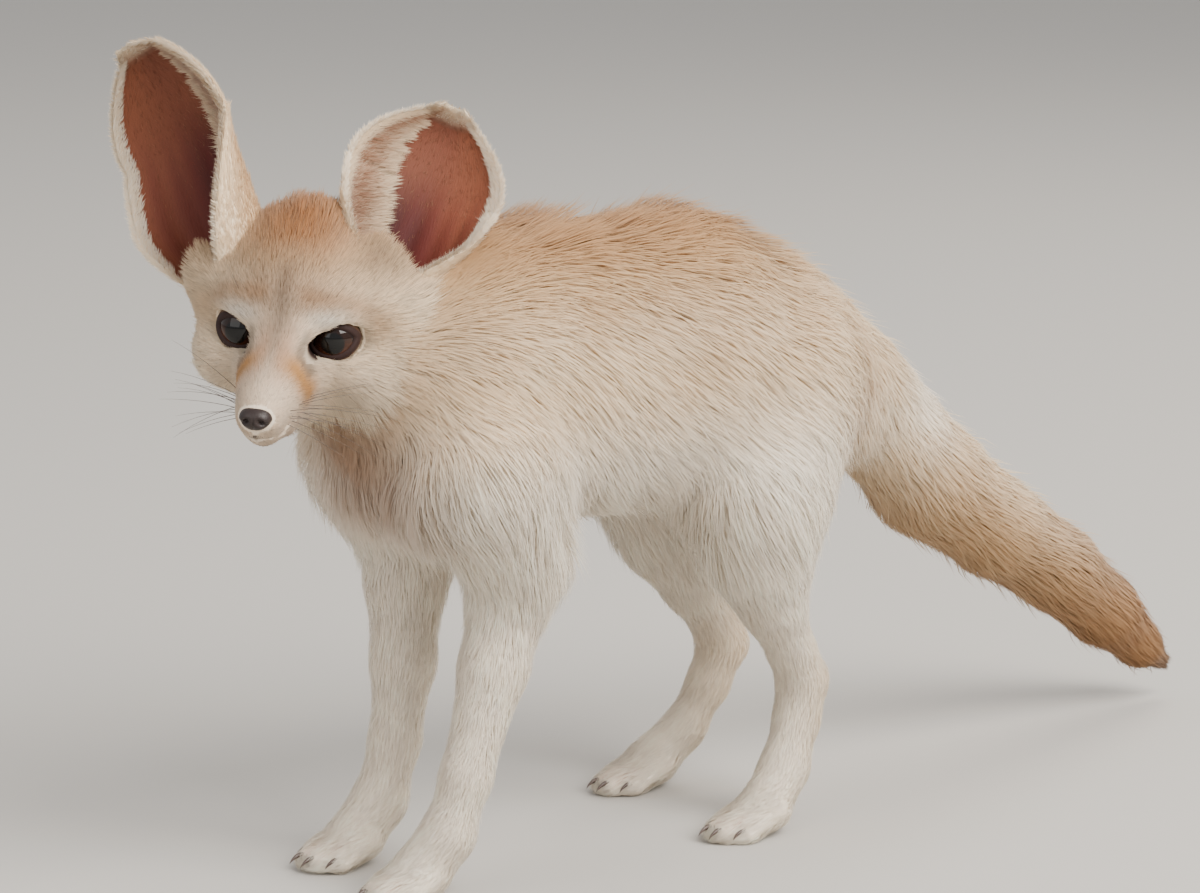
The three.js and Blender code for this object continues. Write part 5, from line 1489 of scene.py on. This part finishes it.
# %% [markdown]
# ## From tufts to a mesh
# All tufts of one part are joined into one mesh, because many thousands of separate objects
# would be slow. Every tuft keeps a tiny patch of the map at the place of its root, so it can be
# coloured like the skin it grows from. It also carries the way of the coat's surface, for soft
# light.
# %% Joined mesh of tufts
PATCH = 0.003  # size of a tuft's own patch on the map
triangles_of_hair = {}


def coat_object(name, corners, colours, roots_uv, soft):
    """All strips of a piece as one mesh, with their map, their markings and the coat's normals."""
    count, size = corners.shape[:2]
    pairs = size // 2
    mesh = bpy.data.meshes.new(name)
    mesh.vertices.add(count * size)
    mesh.vertices.foreach_set("co", to_frame(corners.reshape(-1, 3)).astype(np.float32).ravel())
    ring = [corner for k in range(pairs - 1) for corner in (2 * k, 2 * k + 1, 2 * k + 3, 2 * k + 2)]
    ring += [size - 3, size - 2, size - 1]
    loops = (np.arange(count)[:, None] * size + np.array(ring)).ravel()
    mesh.loops.add(len(loops))
    mesh.loops.foreach_set("vertex_index", loops.astype(np.int32))
    starts = np.arange(count)[:, None] * len(ring) + np.arange(pairs) * 4
    mesh.polygons.add(count * pairs)
    mesh.polygons.foreach_set("loop_start", starts.astype(np.int32).ravel())
    mesh.polygons.foreach_set("use_smooth", np.ones(count * pairs, bool))
    layer = mesh.uv_layers.new(name="OFBake")
    place = [(k % 2, k // 2 / pairs) for k in range(2 * pairs)] + [(0.5, 1)]
    uv = roots_uv[:, None] + (np.array(place) - 0.5)[None] * PATCH
    layer.data.foreach_set("uv", uv.reshape(-1, 2)[loops].astype(np.float32).ravel())
    attribute = mesh.attributes.new("marking", "FLOAT_COLOR", "POINT")
    rgba = np.concatenate([colours.reshape(-1, 3), np.ones((count * size, 1))], 1)
    attribute.data.foreach_set("color", rgba.astype(np.float32).ravel())
    lie = mesh.attributes.new("lie", "FLOAT_VECTOR", "POINT")
    lie.data.foreach_set("vector", soft.reshape(-1, 3).astype(np.float32).ravel())
    mesh.update(calc_edges=True)
    thing = bpy.data.objects.new(name, mesh)
    bpy.context.scene.collection.objects.link(thing)
    triangles_of_hair[name] = count * (2 * pairs - 1)
    print(name, "tufts:", count, "triangles:", triangles_of_hair[name])
    return thing


PAINTED_DEPTH_SHADE = {4: (0.90, 0.96, 1.0, 1.02), 3: (0.90, 0.98, 1.03)}  # painted shade: hair is darker deep in the coat near the skin, and a little lighter at the tip


LONG_VARIETY, SHORT_VARIETY = 0.045, 0.09  # how far one tuft is lighter or darker than the next


def tuft_colours(base, random, stations, vary=LONG_VARIETY):
    shades = at_corners(np.array(PAINTED_DEPTH_SHADE[stations])[None])[0]
    colours = base[:, None] * shades[None, :, None] * (1 + random * vary)[:, None, None]
    return np.clip(colours, 0.01, 0.95)


print("shades along a tuft:", PAINTED_DEPTH_SHADE)

# %% [markdown]
# ## The coat of the body, part by part
# Each part has its own number of tufts, long ones of four stations on the trunk and the tail,
# short ones of three on the head and the legs. The guides say how the hair lies at every face
# of the skin.
# %% Comb the skin and keep eyes, nose, mouth and ears clear
COATS = {  # part of the skin: number of tufts, stations, size of a lock, how far it gathers
    "trunk": (98000, LONG_STATIONS, 8.5, 0.22),
    "head": (92000, SHORT_STATIONS, 5.0, 0.3),
    "tail": (30000, LONG_STATIONS, 8.0, 0.25),
    "fore_left": (28000, SHORT_STATIONS, 5.0, 0.35),
    "fore_right": (24000, SHORT_STATIONS, 5.0, 0.35),
    "hind_left": (30000, SHORT_STATIONS, 5.0, 0.35),
    "hind_right": (26000, SHORT_STATIONS, 5.0, 0.35),
}
face_centre = skin_points[skin_faces].mean(1)
face_part = part_of(face_centre.astype(np.float32))
combing = [combed(c.astype(np.float32)) for c in np.array_split(face_centre, 8)]
face_way, face_depth, face_length = (np.concatenate(column) for column in zip(*combing))
TUFT_WIDTH, WIDTH_BY_LENGTH = 0.15, 0.0145
ROOM_OF_A_ROOT = 0.6  # square millimetres
face_width = WIDTH_BY_LENGTH * face_length + TUFT_WIDTH
face_density = 1 / (face_length * face_width + ROOM_OF_A_ROOT)
face_area = face_areas(skin_points, skin_faces)


def keep_clear(points):
    """Hair that would cross an eye, the nose, the front of the mouth or an ear is left out."""
    h = to_head(points)
    clear = np.ones(len(points), bool)
    for side in (1, -1):
        clear &= lid_opening(h, side, -0.3) > 0
    nose_gap = (h - NOSE_AT) / (NOSE_HALF + 0.35)
    clear &= (nose_gap**2).sum(1) > 1
    mouth_gap, _ = near_line(np.abs(h) * (1, 0, 0) + h * (0, 1, 1), MOUTH[:2])
    clear &= mouth_gap > 0.4
    return clear & (in_cup(h) > 0)


for name in COATS:
    print(name, "faces:", int((face_part == PART_NAMES.index(name)).sum()))

# %% [markdown]
# ## Growing the coat
# For each part the roots are strewn, the tufts followed and coloured, and the strips joined. The
# trunk and the head are split into pieces of a handy size. Hair that ends in front of an eye or
# over the nose is dropped again.
# %% Grow the coat of the trunk, head, tail and legs
def colour_of(p, number):
    name = PART_NAMES[number]
    if name == "head":
        h = to_head(p)
        return blend(head_colour(h), body_colour(p), step_up(h[:, 1], 18, 48))
    if name == "tail":
        line = np.array([point[:3] for point in TAIL])
        _, share = near_line(p, line)
        middle_height = np.interp(share * (len(line) - 1), range(len(line)), line[:, 2])
        up = (p[:, 2] - middle_height) / 18
        return blend(tail_colour(share, up), body_colour(p), step_up(0.12 - share, 0, 0.12))
    return body_colour(p)


def coat_of(part, piece, mask):
    tufts, stations, lock_size, gather = COATS[part]
    number = PART_NAMES.index(part)
    whole = face_part == number
    density = face_density[mask] * tufts / (face_density * face_area)[whole].sum()
    roots, which = strewn(skin_points, skin_faces[mask], density)
    near_head = part in ("head", "trunk")
    if near_head:
        clear = keep_clear(roots)
        roots, which = roots[clear], which[clear]
    combed_hair = (face_way, face_depth, face_length, face_width)
    way, depth, length, width = (column[mask][which] for column in combed_hair)
    gather = gather * step_up(length, 2, 13)
    frizz = 0.06 + 0.2 * (rng.random(len(roots)) < 0.06)
    hold = np.ones(len(roots))
    if part == "tail":
        _, share = near_line(roots, [point[:3] for point in TAIL])
        hold = 1 - step_up(share, 0.78, 0.95)
        length = length * (1 - 0.5 * step_up(share, 0.75, 1.0))
    places, normals, lock_random = follow(
        roots, way, depth, length, lock_size, gather, frizz, stations, hold
    )
    places[:, :, 2] = np.maximum(places[:, :, 2], 0.2)
    roll = rng.normal(0, ROLL_SPREAD, len(roots))
    strips = ribbons(places, normals, width * rng.uniform(*WIDTH_RANGE, len(roots)), roll)
    strips[:, :, 2] = np.maximum(strips[:, :, 2], 0.1)
    random = rng.normal(0, 0.6, len(roots)) + 0.6 * lock_random
    base = colour_of(places[:, -2], number)
    if part == "head":
        brow = step_up(to_head(roots)[:, 2], 2, 16)
        base = blend(base, GREY, 0.45 * (rng.random(len(roots)) < 0.05 + 0.2 * brow))
    variety = LONG_VARIETY if stations is LONG_STATIONS else SHORT_VARIETY
    colours = tuft_colours(base, random, len(stations), variety)
    turns, along = chart_place(roots, np.full(len(roots), number))
    uv = on_map(turns, along, np.full(len(roots), number))
    if near_head:
        clear = np.all([keep_clear(places[:, k]) for k in range(1, len(stations))], 0)
        strips, colours, uv, normals = strips[clear], colours[clear], uv[clear], normals[clear]
    return coat_object(piece, strips, colours, uv, at_corners(normals))


trunk_faces = face_part == PART_NAMES.index("trunk")
head_faces = face_part == PART_NAMES.index("head")
front_faces = trunk_faces & (face_centre[:, 1] < -66)
left_side = face_centre[:, 0] >= 0
left_cheek = to_head(face_centre)[:, 0] >= 0
coats = [
    coat_of("trunk", "coat_front", front_faces),
    coat_of("trunk", "coat_left", trunk_faces & ~front_faces & left_side),
    coat_of("trunk", "coat_right", trunk_faces & ~front_faces & ~left_side),
    coat_of("head", "coat_head_left", head_faces & left_cheek),
    coat_of("head", "coat_head_right", head_faces & ~left_cheek),
]
for name in ("tail", "fore_left", "fore_right", "hind_left", "hind_right"):
    coats.append(coat_of(name, "coat_" + name, face_part == PART_NAMES.index(name)))
print("triangles of the coat so far:", sum(triangles_of_hair.values()))

# %% [markdown]
# ## Hair of the ears
# Five kinds of hair grow on an ear. Short dense fur covers its back and a soft edging runs round
# its rim. Inside, a broad zone behind the front margin is furred as well; at its edge a fringe
# of long white hair points across the cup and keeps sand out of the canal. A thin down is left
# on the bare skin.
# %% Places and strips on an ear
INNER_TURN, BACK_TURN = 0.25, -0.25  # where the inside and the back of an ear lie on its chart
EAR_TURNS = 0.22  # width of either of them on the chart
IN_THE_CUP = EAR_INSET + EAR_WALL - 0.1  # depth of the roots inside the cup


def ear_place(side, along, across, depth):
    """Roots in the wall of an ear, with the ways up, frontwards and into the cup."""
    at = lambda a, c: ear_point(EARS[side], side, a, c, depth)
    root = at(along, across)
    up = unit(root - at(along - 0.01, across))
    frontwards = unit(at(along, across + 0.01) - at(along, across - 0.01))
    inwards = unit(np.cross(up, frontwards))
    middle = ear_point(EARS[side], side, along, across * 0, np.full(len(along), 14.0))
    inwards = inwards * np.sign(((middle - root) * inwards).sum(1, keepdims=True))
    return root, up, frontwards, inwards


def mixed(axes, shares, count):
    return unit(sum(axis * np.broadcast_to(share, count)[:, None] for axis, share in zip(axes, shares)))


def ear_strips(side, stations, along, across, depth, lean, length, rise, width, facing, spread):
    """Strips of hair on an ear: lean and facing are shares of up, frontwards and inwards."""
    count = len(along)
    root, *axes = ear_place(side, along, across, depth)
    way = unit(mixed(axes, lean, count) + rng.normal(0, spread, (count, 3)))
    normal = mixed(axes, facing, count)
    levels = [rise * (1 - (1 - s) ** 2) - 0.2 * (s == 0) for s in stations]
    places = [
        root + way * (length * s)[:, None] + normal * level[:, None] for s, level in zip(stations, levels)
    ]
    normals = np.repeat(normal[:, None], len(stations), 1)
    width = width * rng.uniform(*WIDTH_RANGE, count)
    strips = ribbons(np.stack(places, 1), normals, width, rng.normal(0, ROLL_SPREAD, count))
    return strips, at_corners(normals)


def ear_kind(along, across, depth, lean, length, rise, width, facing, spread, base, turn_at=INNER_TURN):
    """One kind of ear hair; a number that all its tufts share is spread over them."""
    depth, rise, width = (np.broadcast_to(value, len(along)) for value in (depth, rise, width))
    return along, across, depth, lean, length, rise, width, facing, spread, base, turn_at


def ear_hair(side, name, kinds, stations):
    number = PART_NAMES.index("ear_left" if side == 1 else "ear_right")
    strips, soft, colours, uv = [], [], [], []
    for *form, base, turn_at in kinds:
        along, across = form[:2]
        corners, normals = ear_strips(side, stations, *form)
        strips.append(corners)
        soft.append(normals)
        colours.append(tuft_colours(base, rng.normal(0, 0.7, len(along)), len(stations)))
        uv.append(on_map(across * EAR_TURNS + turn_at, along, np.full(len(along), number)))
    return coat_object(name, *(np.concatenate(part) for part in (strips, colours, uv, soft)))


print("roots in the cup lie", IN_THE_CUP, "mm deep")

# %% [markdown]
# ## Kinds of ear hair
# Each kind has its own place, lean, length, rise, width, facing, unruliness and colour.
# %% Kinds of ear hair
def ear_back(count=22000):
    along, across = rng.uniform(0, 0.985, count), rng.uniform(-0.985, 0.985, count)
    past = np.maximum(0, along - EAR_ROUNDED_FROM) / (1 - EAR_ROUNDED_FROM)
    size = ear_half_width(along) * np.sqrt(np.clip(1 - past**2, 0.02, 1)) / 0.5
    keep = rng.random(count) < size
    along, across, count = along[keep], across[keep], int(keep.sum())
    base = blend(np.tile(CREAM, (count, 1)), BUFF, 0.75 * step_up(0.95 - np.abs(across), 0, 0.35))
    lean, facing = (1, np.sign(across) * 0.2, 0), (0, 0, -1)
    depth, length = EAR_INSET + 0.05, 4.2 - 1.4 * along
    return ear_kind(along, across, depth, lean, length, 0.5, 0.25, facing, 0.12, base, BACK_TURN)


def ear_rim(count=5200):
    along = rng.uniform(0.03, 1, count)
    over_top = rng.random(count) < 0.22
    along = np.where(over_top, rng.uniform(0.93, 0.985, count), along * 0.975)
    over_the_tip = rng.uniform(-1, 1, count)
    down_a_margin = np.sign(rng.uniform(-1, 1, count)) * rng.uniform(0.955, 0.99, count)
    across = np.where(over_top, over_the_tip, down_a_margin)
    edge = np.sign(across)
    base = blend(np.tile(CREAM, (count, 1)), WHITE, rng.random(count))
    lean = (np.where(over_top, 1, 0.8), np.where(over_top, 0, edge * 0.75), rng.uniform(-0.2, 0.5, count))
    depth = EAR_INSET + rng.uniform(0, 1.2, count)
    length, facing = rng.uniform(1.6, 2.8, count), (0, edge * 0.5, 0.6)
    return ear_kind(along, across, depth, lean, length, 0.2, 0.24, facing, 0.16, base)


def fringe_line(along):
    """Where the furred zone behind the front margin ends."""
    return 0.14 + 0.62 * along


def ear_front_zone(count=9500):
    along = rng.uniform(0.04, 0.965, count)
    across = 1 - (1 - fringe_line(along)) * rng.random(count)
    tinge = rng.uniform(0.5, 1.0, count) * step_up(1 - across, 0.0, 0.2)
    base = blend(np.tile(CREAM, (count, 1)), EAR_HAIR, tinge)
    lean, length = (0.9, -0.3, 0.1), rng.uniform(2.6, 4.2, count)
    return ear_kind(along, across, IN_THE_CUP, lean, length, 0.5, 0.22, (0, 0, 1), 0.14, base)


def ear_rear_zone(count=2600):
    along, across = rng.uniform(0.1, 0.965, count), -1 + 0.12 * rng.random(count) ** 1.6
    base = blend(np.tile(WHITE, (count, 1)), CREAM, rng.random(count))
    lean, length = (0.8, 0.5, 0.15), rng.uniform(1.8, 3.2, count)
    return ear_kind(along, across, IN_THE_CUP, lean, length, 0.4, 0.2, (0, 0, 1), 0.14, base)


def ear_down(count=900):
    along, across = rng.uniform(0.15, 0.95, count), rng.uniform(-0.85, 0.35, count)
    base = blend(np.tile(EAR_HAIR, (count, 1)), EAR_PINK, rng.uniform(0.3, 1.0, count))
    depth, lean, length = EAR_INSET + EAR_WALL + 0.1, (1, 0, 0.1), rng.uniform(1.5, 2.8, count)
    return ear_kind(along, across, depth, lean, length, 0.3, 0.1, (0, 0, 1), 0.2, base)


def ear_fringe(count=3600):
    along = rng.uniform(0.03, 0.9, count)
    beside = rng.exponential(0.1, count)
    across = np.minimum(fringe_line(along) + beside, 0.95)
    strand = lock_centres(np.stack([along * 60, across * 4, along * 0], 1), 2.2, 51)[1]
    length = (8.5 - 4.5 * along) * (1 + 0.2 * strand[:, 0] + 0.12 * rng.normal(0, 1, count))
    base = blend(np.tile(CREAM, (count, 1)), EAR_HAIR, 0.2 * rng.random(count) + 2.5 * beside)
    lean, facing = (0.45 + 0.3 * strand[:, 1] + 0.2 * along, -0.8, 0.3), (0, -0.25, 1)
    return ear_kind(along, across, IN_THE_CUP, lean, length, 0.1 * length, 0.24, facing, 0.09, base)


print("the furred zone ends at", fringe_line(0.5), "half way up")

# %% [markdown]
# ## Growing the hair of the ears
# The four short kinds and the down of an ear are one piece, its fringe another.
# %% Grow the coats and fringes of the ears
fringes = []
for side, name in ((1, "left"), (-1, "right")):
    kinds = [ear_back(), ear_rim(), ear_front_zone(), ear_rear_zone(), ear_down()]
    coats.append(ear_hair(side, "coat_ear_" + name, kinds, SHORT_STATIONS))
    fringes.append(ear_hair(side, "fringe_ear_" + name, [ear_fringe()], LONG_STATIONS))
print("coat pieces:", len(coats) + len(fringes), "triangles:", sum(triangles_of_hair.values()))

# %% [markdown]
# ## Markings of the skin
# The skin carries the same colours as the hair over it, so that wherever the coat thins the
# colour beneath is right. Inside the ears it is nearly bare: brownish pink, orange towards the
# rear where light comes through, and dark red down in the canal.
# %% Colours of the skin
def ear_skin_colour(along, across, inner):
    fold = sum(fold_ridges(along, across))
    colour = np.tile(EAR_PINK, (len(along), 1))
    # painted light: orange towards the rear of the cup, where light comes through the thin ear
    colour = blend(colour, EAR_LIT_ORANGE, 0.85 * step_up(-across, 0.1, 0.6))
    low_down = 0.85 * step_up(0.72 - along, 0, 0.55)
    colour = blend(colour, EAR_RED, low_down * (1 - 0.75 * step_up(-across, 0.2, 0.75)))
    down_the_canal = 0.95 * step_up(0.74 - along, 0, 0.4)
    colour = blend(colour, MAROON, down_the_canal * np.exp(-(((across - 0.1) / 0.36) ** 4)))
    colour = blend(colour, EAR_RED, 0.5 * fold * step_up(0.8 - along, 0, 0.4))
    colour = blend(colour, EAR_HAIR, step_up(across - fringe_line(along), -0.04, 0.06))
    colour = blend(colour, CREAM, step_up(np.abs(across), 0.92, 0.99))
    colour = blend(colour, CREAM, step_up(along, 0.93, 0.99))
    back = blend(np.tile(CREAM, (len(along), 1)), BUFF, 0.6 * step_up(0.9 - np.abs(across), 0, 0.3))
    return np.where(inner[:, None], colour, back)


body = np.zeros((len(skin_points), 3))
point_part = part_of(skin_points.astype(np.float32))
for number in range(len(BODY_NAMES)):
    mine = np.flatnonzero(point_part == number)
    if len(mine):
        body[mine] = colour_of(skin_points[mine], number)
h = to_head(skin_points)
mouth_gap, _ = near_line(np.stack([np.abs(h[:, 0]), h[:, 1], h[:, 2]], 1), MOUTH)
body = blend(body, LIP_DARK, 0.9 * (1 - step_up(mouth_gap, 0.5, 1.1)))
for side in (1, -1):
    ahead, _, _ = in_eye_frame(h, side)
    rim = (1 - step_up(lid_opening(h, side), 0.2, 0.9)) * (1 - step_up(ahead, 8, 14))
    body = blend(body, LIP_DARK, rim * (ahead > 0))
cup_share = 1 - step_up(in_cup(h), -0.5, 0.5)
body = blend(body, EAR_RED, cup_share)
canal_gap = np.min([canal(h.astype(np.float32)) for canal in canals[::2]], 0)
body = blend(body, MAROON, 0.8 * (1 - step_up(canal_gap, 0.3, 1.6)) * cup_share)
for legs, sizes in ((FORE_LEGS, FORE_TOES), (HIND_LEGS, HIND_TOES)):
    for side in (1, -1):
        ball = legs[side][-1]
        for first, second in zip(sizes[:-1], sizes[1:]):
            gap_at = (ball[0] + (first[0] + second[0]) / 2, ball[1] - first[1] / 2 - second[1] / 2 + 2, 5)
            body = blend(body, TOE_PINK, 0.8 * spot(skin_points, gap_at, (1.6, 6, 5)))
colours = [body]
for points, _, along, across in ear_parts.values():
    inner = np.arange(len(points)) >= len(points) // 2
    colours.append(ear_skin_colour(along, across, inner))
for points, _ in lids.values():
    ring = (np.arange(len(points)) // LID_STEPS).astype(float)
    colours.append(blend(np.tile(LIP_DARK, (len(points), 1)), SHADE, 0.5 * step_up(ring, 5.0, 7.0)))
colours = np.concatenate(colours)


def add_marking(mesh, colours):
    attribute = mesh.attributes.new("marking", "FLOAT_COLOR", "POINT")
    rgba = np.concatenate([np.clip(colours, 0.003, 0.95), np.ones((len(colours), 1))], 1)
    attribute.data.foreach_set("color", rgba.astype(np.float32).ravel())


add_marking(skin_mesh, colours)
print("corners of the skin with a colour:", len(colours))

# %% [markdown]
# ## Colours of the eye
# The angle from the line of sight tells pupil from iris and iris from the white. The iris is
# nearly black-brown above and painted amber below, where light falls through it. It has fine
# spokes and ends in a dark ring.
# %% Pupil, iris and the ring round it
PUPIL, IRIS = 27.0, 54.0  # degrees from the line of sight
PUPIL_BLACK, EYE_WHITE = linear(0.04, 0.03, 0.03), linear(0.20, 0.12, 0.10)
IRIS_BROWN, IRIS_LIT_AMBER = linear(0.12, 0.065, 0.045), linear(0.30, 0.16, 0.09)
SPOKES = 72
off_sight = np.degrees(np.arccos(np.clip(unit_ball[:, 2], -1, 1)))
outwards = np.maximum(np.sin(np.radians(off_sight)), 0.1)
round_sight = np.arctan2(unit_ball[:, 1], unit_ball[:, 0]) / (2 * math.pi)
for side, eye in eyes.items():
    # painted light: the lower half of the iris is amber, where light falls through the eye
    below = np.clip(0.2 - 0.9 * side * unit_ball[:, 1] / outwards, 0, 1)
    spokes = 0.85 + 0.3 * rng.random(SPOKES)[(round_sight * SPOKES).astype(int) % SPOKES]
    colours = blend(np.tile(IRIS_BROWN, (len(unit_ball), 1)), IRIS_LIT_AMBER, 0.85 * below) * spokes[:, None]
    colours = blend(colours, PUPIL_BLACK, 1 - step_up(off_sight, PUPIL - 2, PUPIL + 4))
    colours = blend(colours, PUPIL_BLACK, step_up(off_sight, IRIS - 8, IRIS))
    colours = blend(colours, EYE_WHITE, step_up(off_sight, IRIS + 2, IRIS + 8))
    add_marking(eye.data, colours)
print("pupil and iris reach", PUPIL, "and", IRIS, "degrees from the line of sight")

# %% [markdown]
# ## Map of the skin
# Body, ears and lids are laid flat in the charts of their parts, the same ones that the tufts
# take their places from.
# %% OFBake map of the skin
uv = np.zeros((len(all_faces), 4, 2))
loops_part = np.repeat(face_part, 4)
loop_points = skin_points[skin_faces].reshape(-1, 3)
turns, along = chart_place(loop_points, loops_part)
turns = turns.reshape(-1, 4)
turns = np.clip(turns - np.round(turns - turns[:, :1]), -0.5, 0.5)
uv[: len(skin_faces)] = on_map(turns.ravel(), along, loops_part).reshape(-1, 4, 2)
start = len(skin_faces)
for side, (points, faces, along, across) in ear_parts.items():
    number = PART_NAMES.index("ear_left" if side == 1 else "ear_right")
    inner = (np.arange(len(points)) >= len(points) // 2)[faces]
    turns = across[faces] * EAR_TURNS + np.where(inner, INNER_TURN, BACK_TURN)
    flat = on_map(turns.ravel(), along[faces].ravel(), np.full(faces.size, number))
    uv[start : start + len(faces)] = flat.reshape(-1, 4, 2)
    start += len(faces)
head_number = PART_NAMES.index("head")
for points, faces in lids.values():
    h = to_head(points)
    turns, along = head_turns(h), head_along(h)
    flat = on_map(turns[faces].ravel(), along[faces].ravel(), np.full(faces.size, head_number))
    uv[start : start + len(faces)] = flat.reshape(-1, 4, 2)
    start += len(faces)
layer = skin_mesh.uv_layers.new(name="OFBake")
layer.data.foreach_set("uv", uv.astype(np.float32).ravel())
print("map of the skin reaches from", uv.min().round(3), "to", uv.max().round(3))

# %% [markdown]
# ## Materials
# Hair takes its colour from the markings. A single strip of mesh is far coarser than the dozen
# hairs it stands for, so its shading normal is drawn towards that of the coat: light then rolls
# softly over the body, as it does on real fur. Hair also lets a part of the light through, so
# the tufts in the shade of others stay bright. On the skin the finest, shortest hair is only a
# bump, drawn out along the limbs by the map. Nose leather has a pebbled grain.
# %% Fur, skin and leather
THROUGH_SHARE = 0.45  # share of the light that a strip of hair lets through
SKIN_GRAIN, PEBBLES = 110, 2400


def new_material(name, roughness, specular):
    material = bpy.data.materials.new(name)
    material.use_nodes = True
    nodes, links = material.node_tree.nodes, material.node_tree.links
    shader = nodes["Principled BSDF"]
    shader.inputs["Roughness"].default_value = roughness
    shader.inputs["Specular IOR Level"].default_value = specular
    return material, nodes, links, shader


def marked_material(name, roughness, specular):
    material, nodes, links, shader = new_material(name, roughness, specular)
    colour = nodes.new("ShaderNodeAttribute")
    colour.attribute_name = "marking"
    links.new(colour.outputs["Color"], shader.inputs["Base Color"])
    return material, nodes, links, shader


def fur_material(name, softness):
    """Hair: softness is how far its shading normal is drawn to that of the coat."""
    material, nodes, links, shader = marked_material(name, 0.75, 0.15)
    shader.inputs["Sheen Weight"].default_value = 0.2
    shader.inputs["Sheen Roughness"].default_value = 0.5
    through = nodes.new("ShaderNodeBsdfTranslucent")
    links.new(nodes["Attribute"].outputs["Color"], through.inputs["Color"])
    both_sides = nodes.new("ShaderNodeMixShader")
    both_sides.inputs["Fac"].default_value = THROUGH_SHARE
    links.new(shader.outputs["BSDF"], both_sides.inputs[1])
    links.new(through.outputs["BSDF"], both_sides.inputs[2])
    links.new(both_sides.outputs["Shader"], nodes["Material Output"].inputs["Surface"])
    lie = nodes.new("ShaderNodeAttribute")
    lie.attribute_name = "lie"
    geometry = nodes.new("ShaderNodeNewGeometry")
    turned = nodes.new("ShaderNodeMath")  # 1 on the front of a strip and -1 on its back
    turned.operation = "MULTIPLY_ADD"
    turned.inputs[1].default_value = -2
    turned.inputs[2].default_value = 1
    links.new(geometry.outputs["Backfacing"], turned.inputs[0])
    facing = nodes.new("ShaderNodeVectorMath")
    facing.operation = "SCALE"
    links.new(lie.outputs["Vector"], facing.inputs["Vector"])
    links.new(turned.outputs["Value"], facing.inputs["Scale"])
    mix = nodes.new("ShaderNodeMix")
    mix.data_type = "VECTOR"
    mix.inputs["Factor"].default_value = softness
    links.new(geometry.outputs["Normal"], mix.inputs["A"])
    links.new(facing.outputs["Vector"], mix.inputs["B"])
    links.new(mix.outputs["Result"], shader.inputs["Normal"])
    links.new(mix.outputs["Result"], through.inputs["Normal"])
    return material


def bumped(nodes, links, shader, vector, scale, detail, strength, depth):
    grain = nodes.new("ShaderNodeTexNoise")
    grain.inputs["Scale"].default_value = scale
    grain.inputs["Detail"].default_value = detail
    links.new(vector, grain.inputs["Vector"])
    bump = nodes.new("ShaderNodeBump")
    bump.inputs["Strength"].default_value = strength
    bump.inputs["Distance"].default_value = depth
    links.new(grain.outputs["Fac"], bump.inputs["Height"])
    links.new(bump.outputs["Normal"], shader.inputs["Normal"])


def skin_material(name):
    material, nodes, links, shader = marked_material(name, 0.65, 0.2)
    flat = nodes.new("ShaderNodeUVMap")
    flat.uv_map = "OFBake"
    drawn_out = nodes.new("ShaderNodeMapping")
    drawn_out.inputs["Scale"].default_value = (12, 1, 1)
    links.new(flat.outputs["UV"], drawn_out.inputs["Vector"])
    bumped(nodes, links, shader, drawn_out.outputs["Vector"], SKIN_GRAIN, 2, 0.5, 0.0003)
    return material


def leather_material(name, colour):
    material, nodes, links, shader = new_material(name, 0.42, 0.35)
    shader.inputs["Base Color"].default_value = (*colour, 1)
    place = nodes.new("ShaderNodeTexCoord")
    bumped(nodes, links, shader, place.outputs["Object"], PEBBLES, 2, 0.6, 0.00015)
    return material


fur = fur_material("fur", 0.9)
ear_fur = fur_material("ear_fur", 0.6)
skin_mesh.materials.append(skin_material("skin"))
for coat in (*coats, *fringes):
    coat.data.materials.append(ear_fur if "ear" in coat.name else fur)
claws.data.materials.append(horn)
nose.data.materials.append(leather_material("leather", (0.021, 0.013, 0.012)))
wet = marked_material("wet", 0.04, 0.35)[0]
for eye in eyes.values():
    eye.data.materials.append(wet)
print("materials:", sorted(material.name for material in bpy.data.materials))

# %% [markdown]
# ## Hang every piece on the frame
# The dressed pieces hang on one frame, and the imported solids that they stand for are hidden.
# %% Hang the pieces and hide the solids they stand for
names = {1: "left", -1: "right"}
flesh = ["head", "neck", "torso", "tail", "ear_left", "ear_right"]
limbs = ("fore_leg", "hind_leg", "hind_foot", "fore_paw", "hind_paw")
flesh += [f"{limb_name}_{side}" for limb_name in limbs for side in names.values()]
horns = [
    f"{end}_claw_{side}_{toe}" for end in ("fore", "hind") for side in names.values() for toe in range(1, 5)
]
for thing in (skin, *coats, *fringes, *eyes.values(), nose, claws, whiskers):
    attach(thing, "root")
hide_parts(*flesh)
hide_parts("nose_pad")
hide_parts(*horns)
for side, name in names.items():
    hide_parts("eye_" + name)
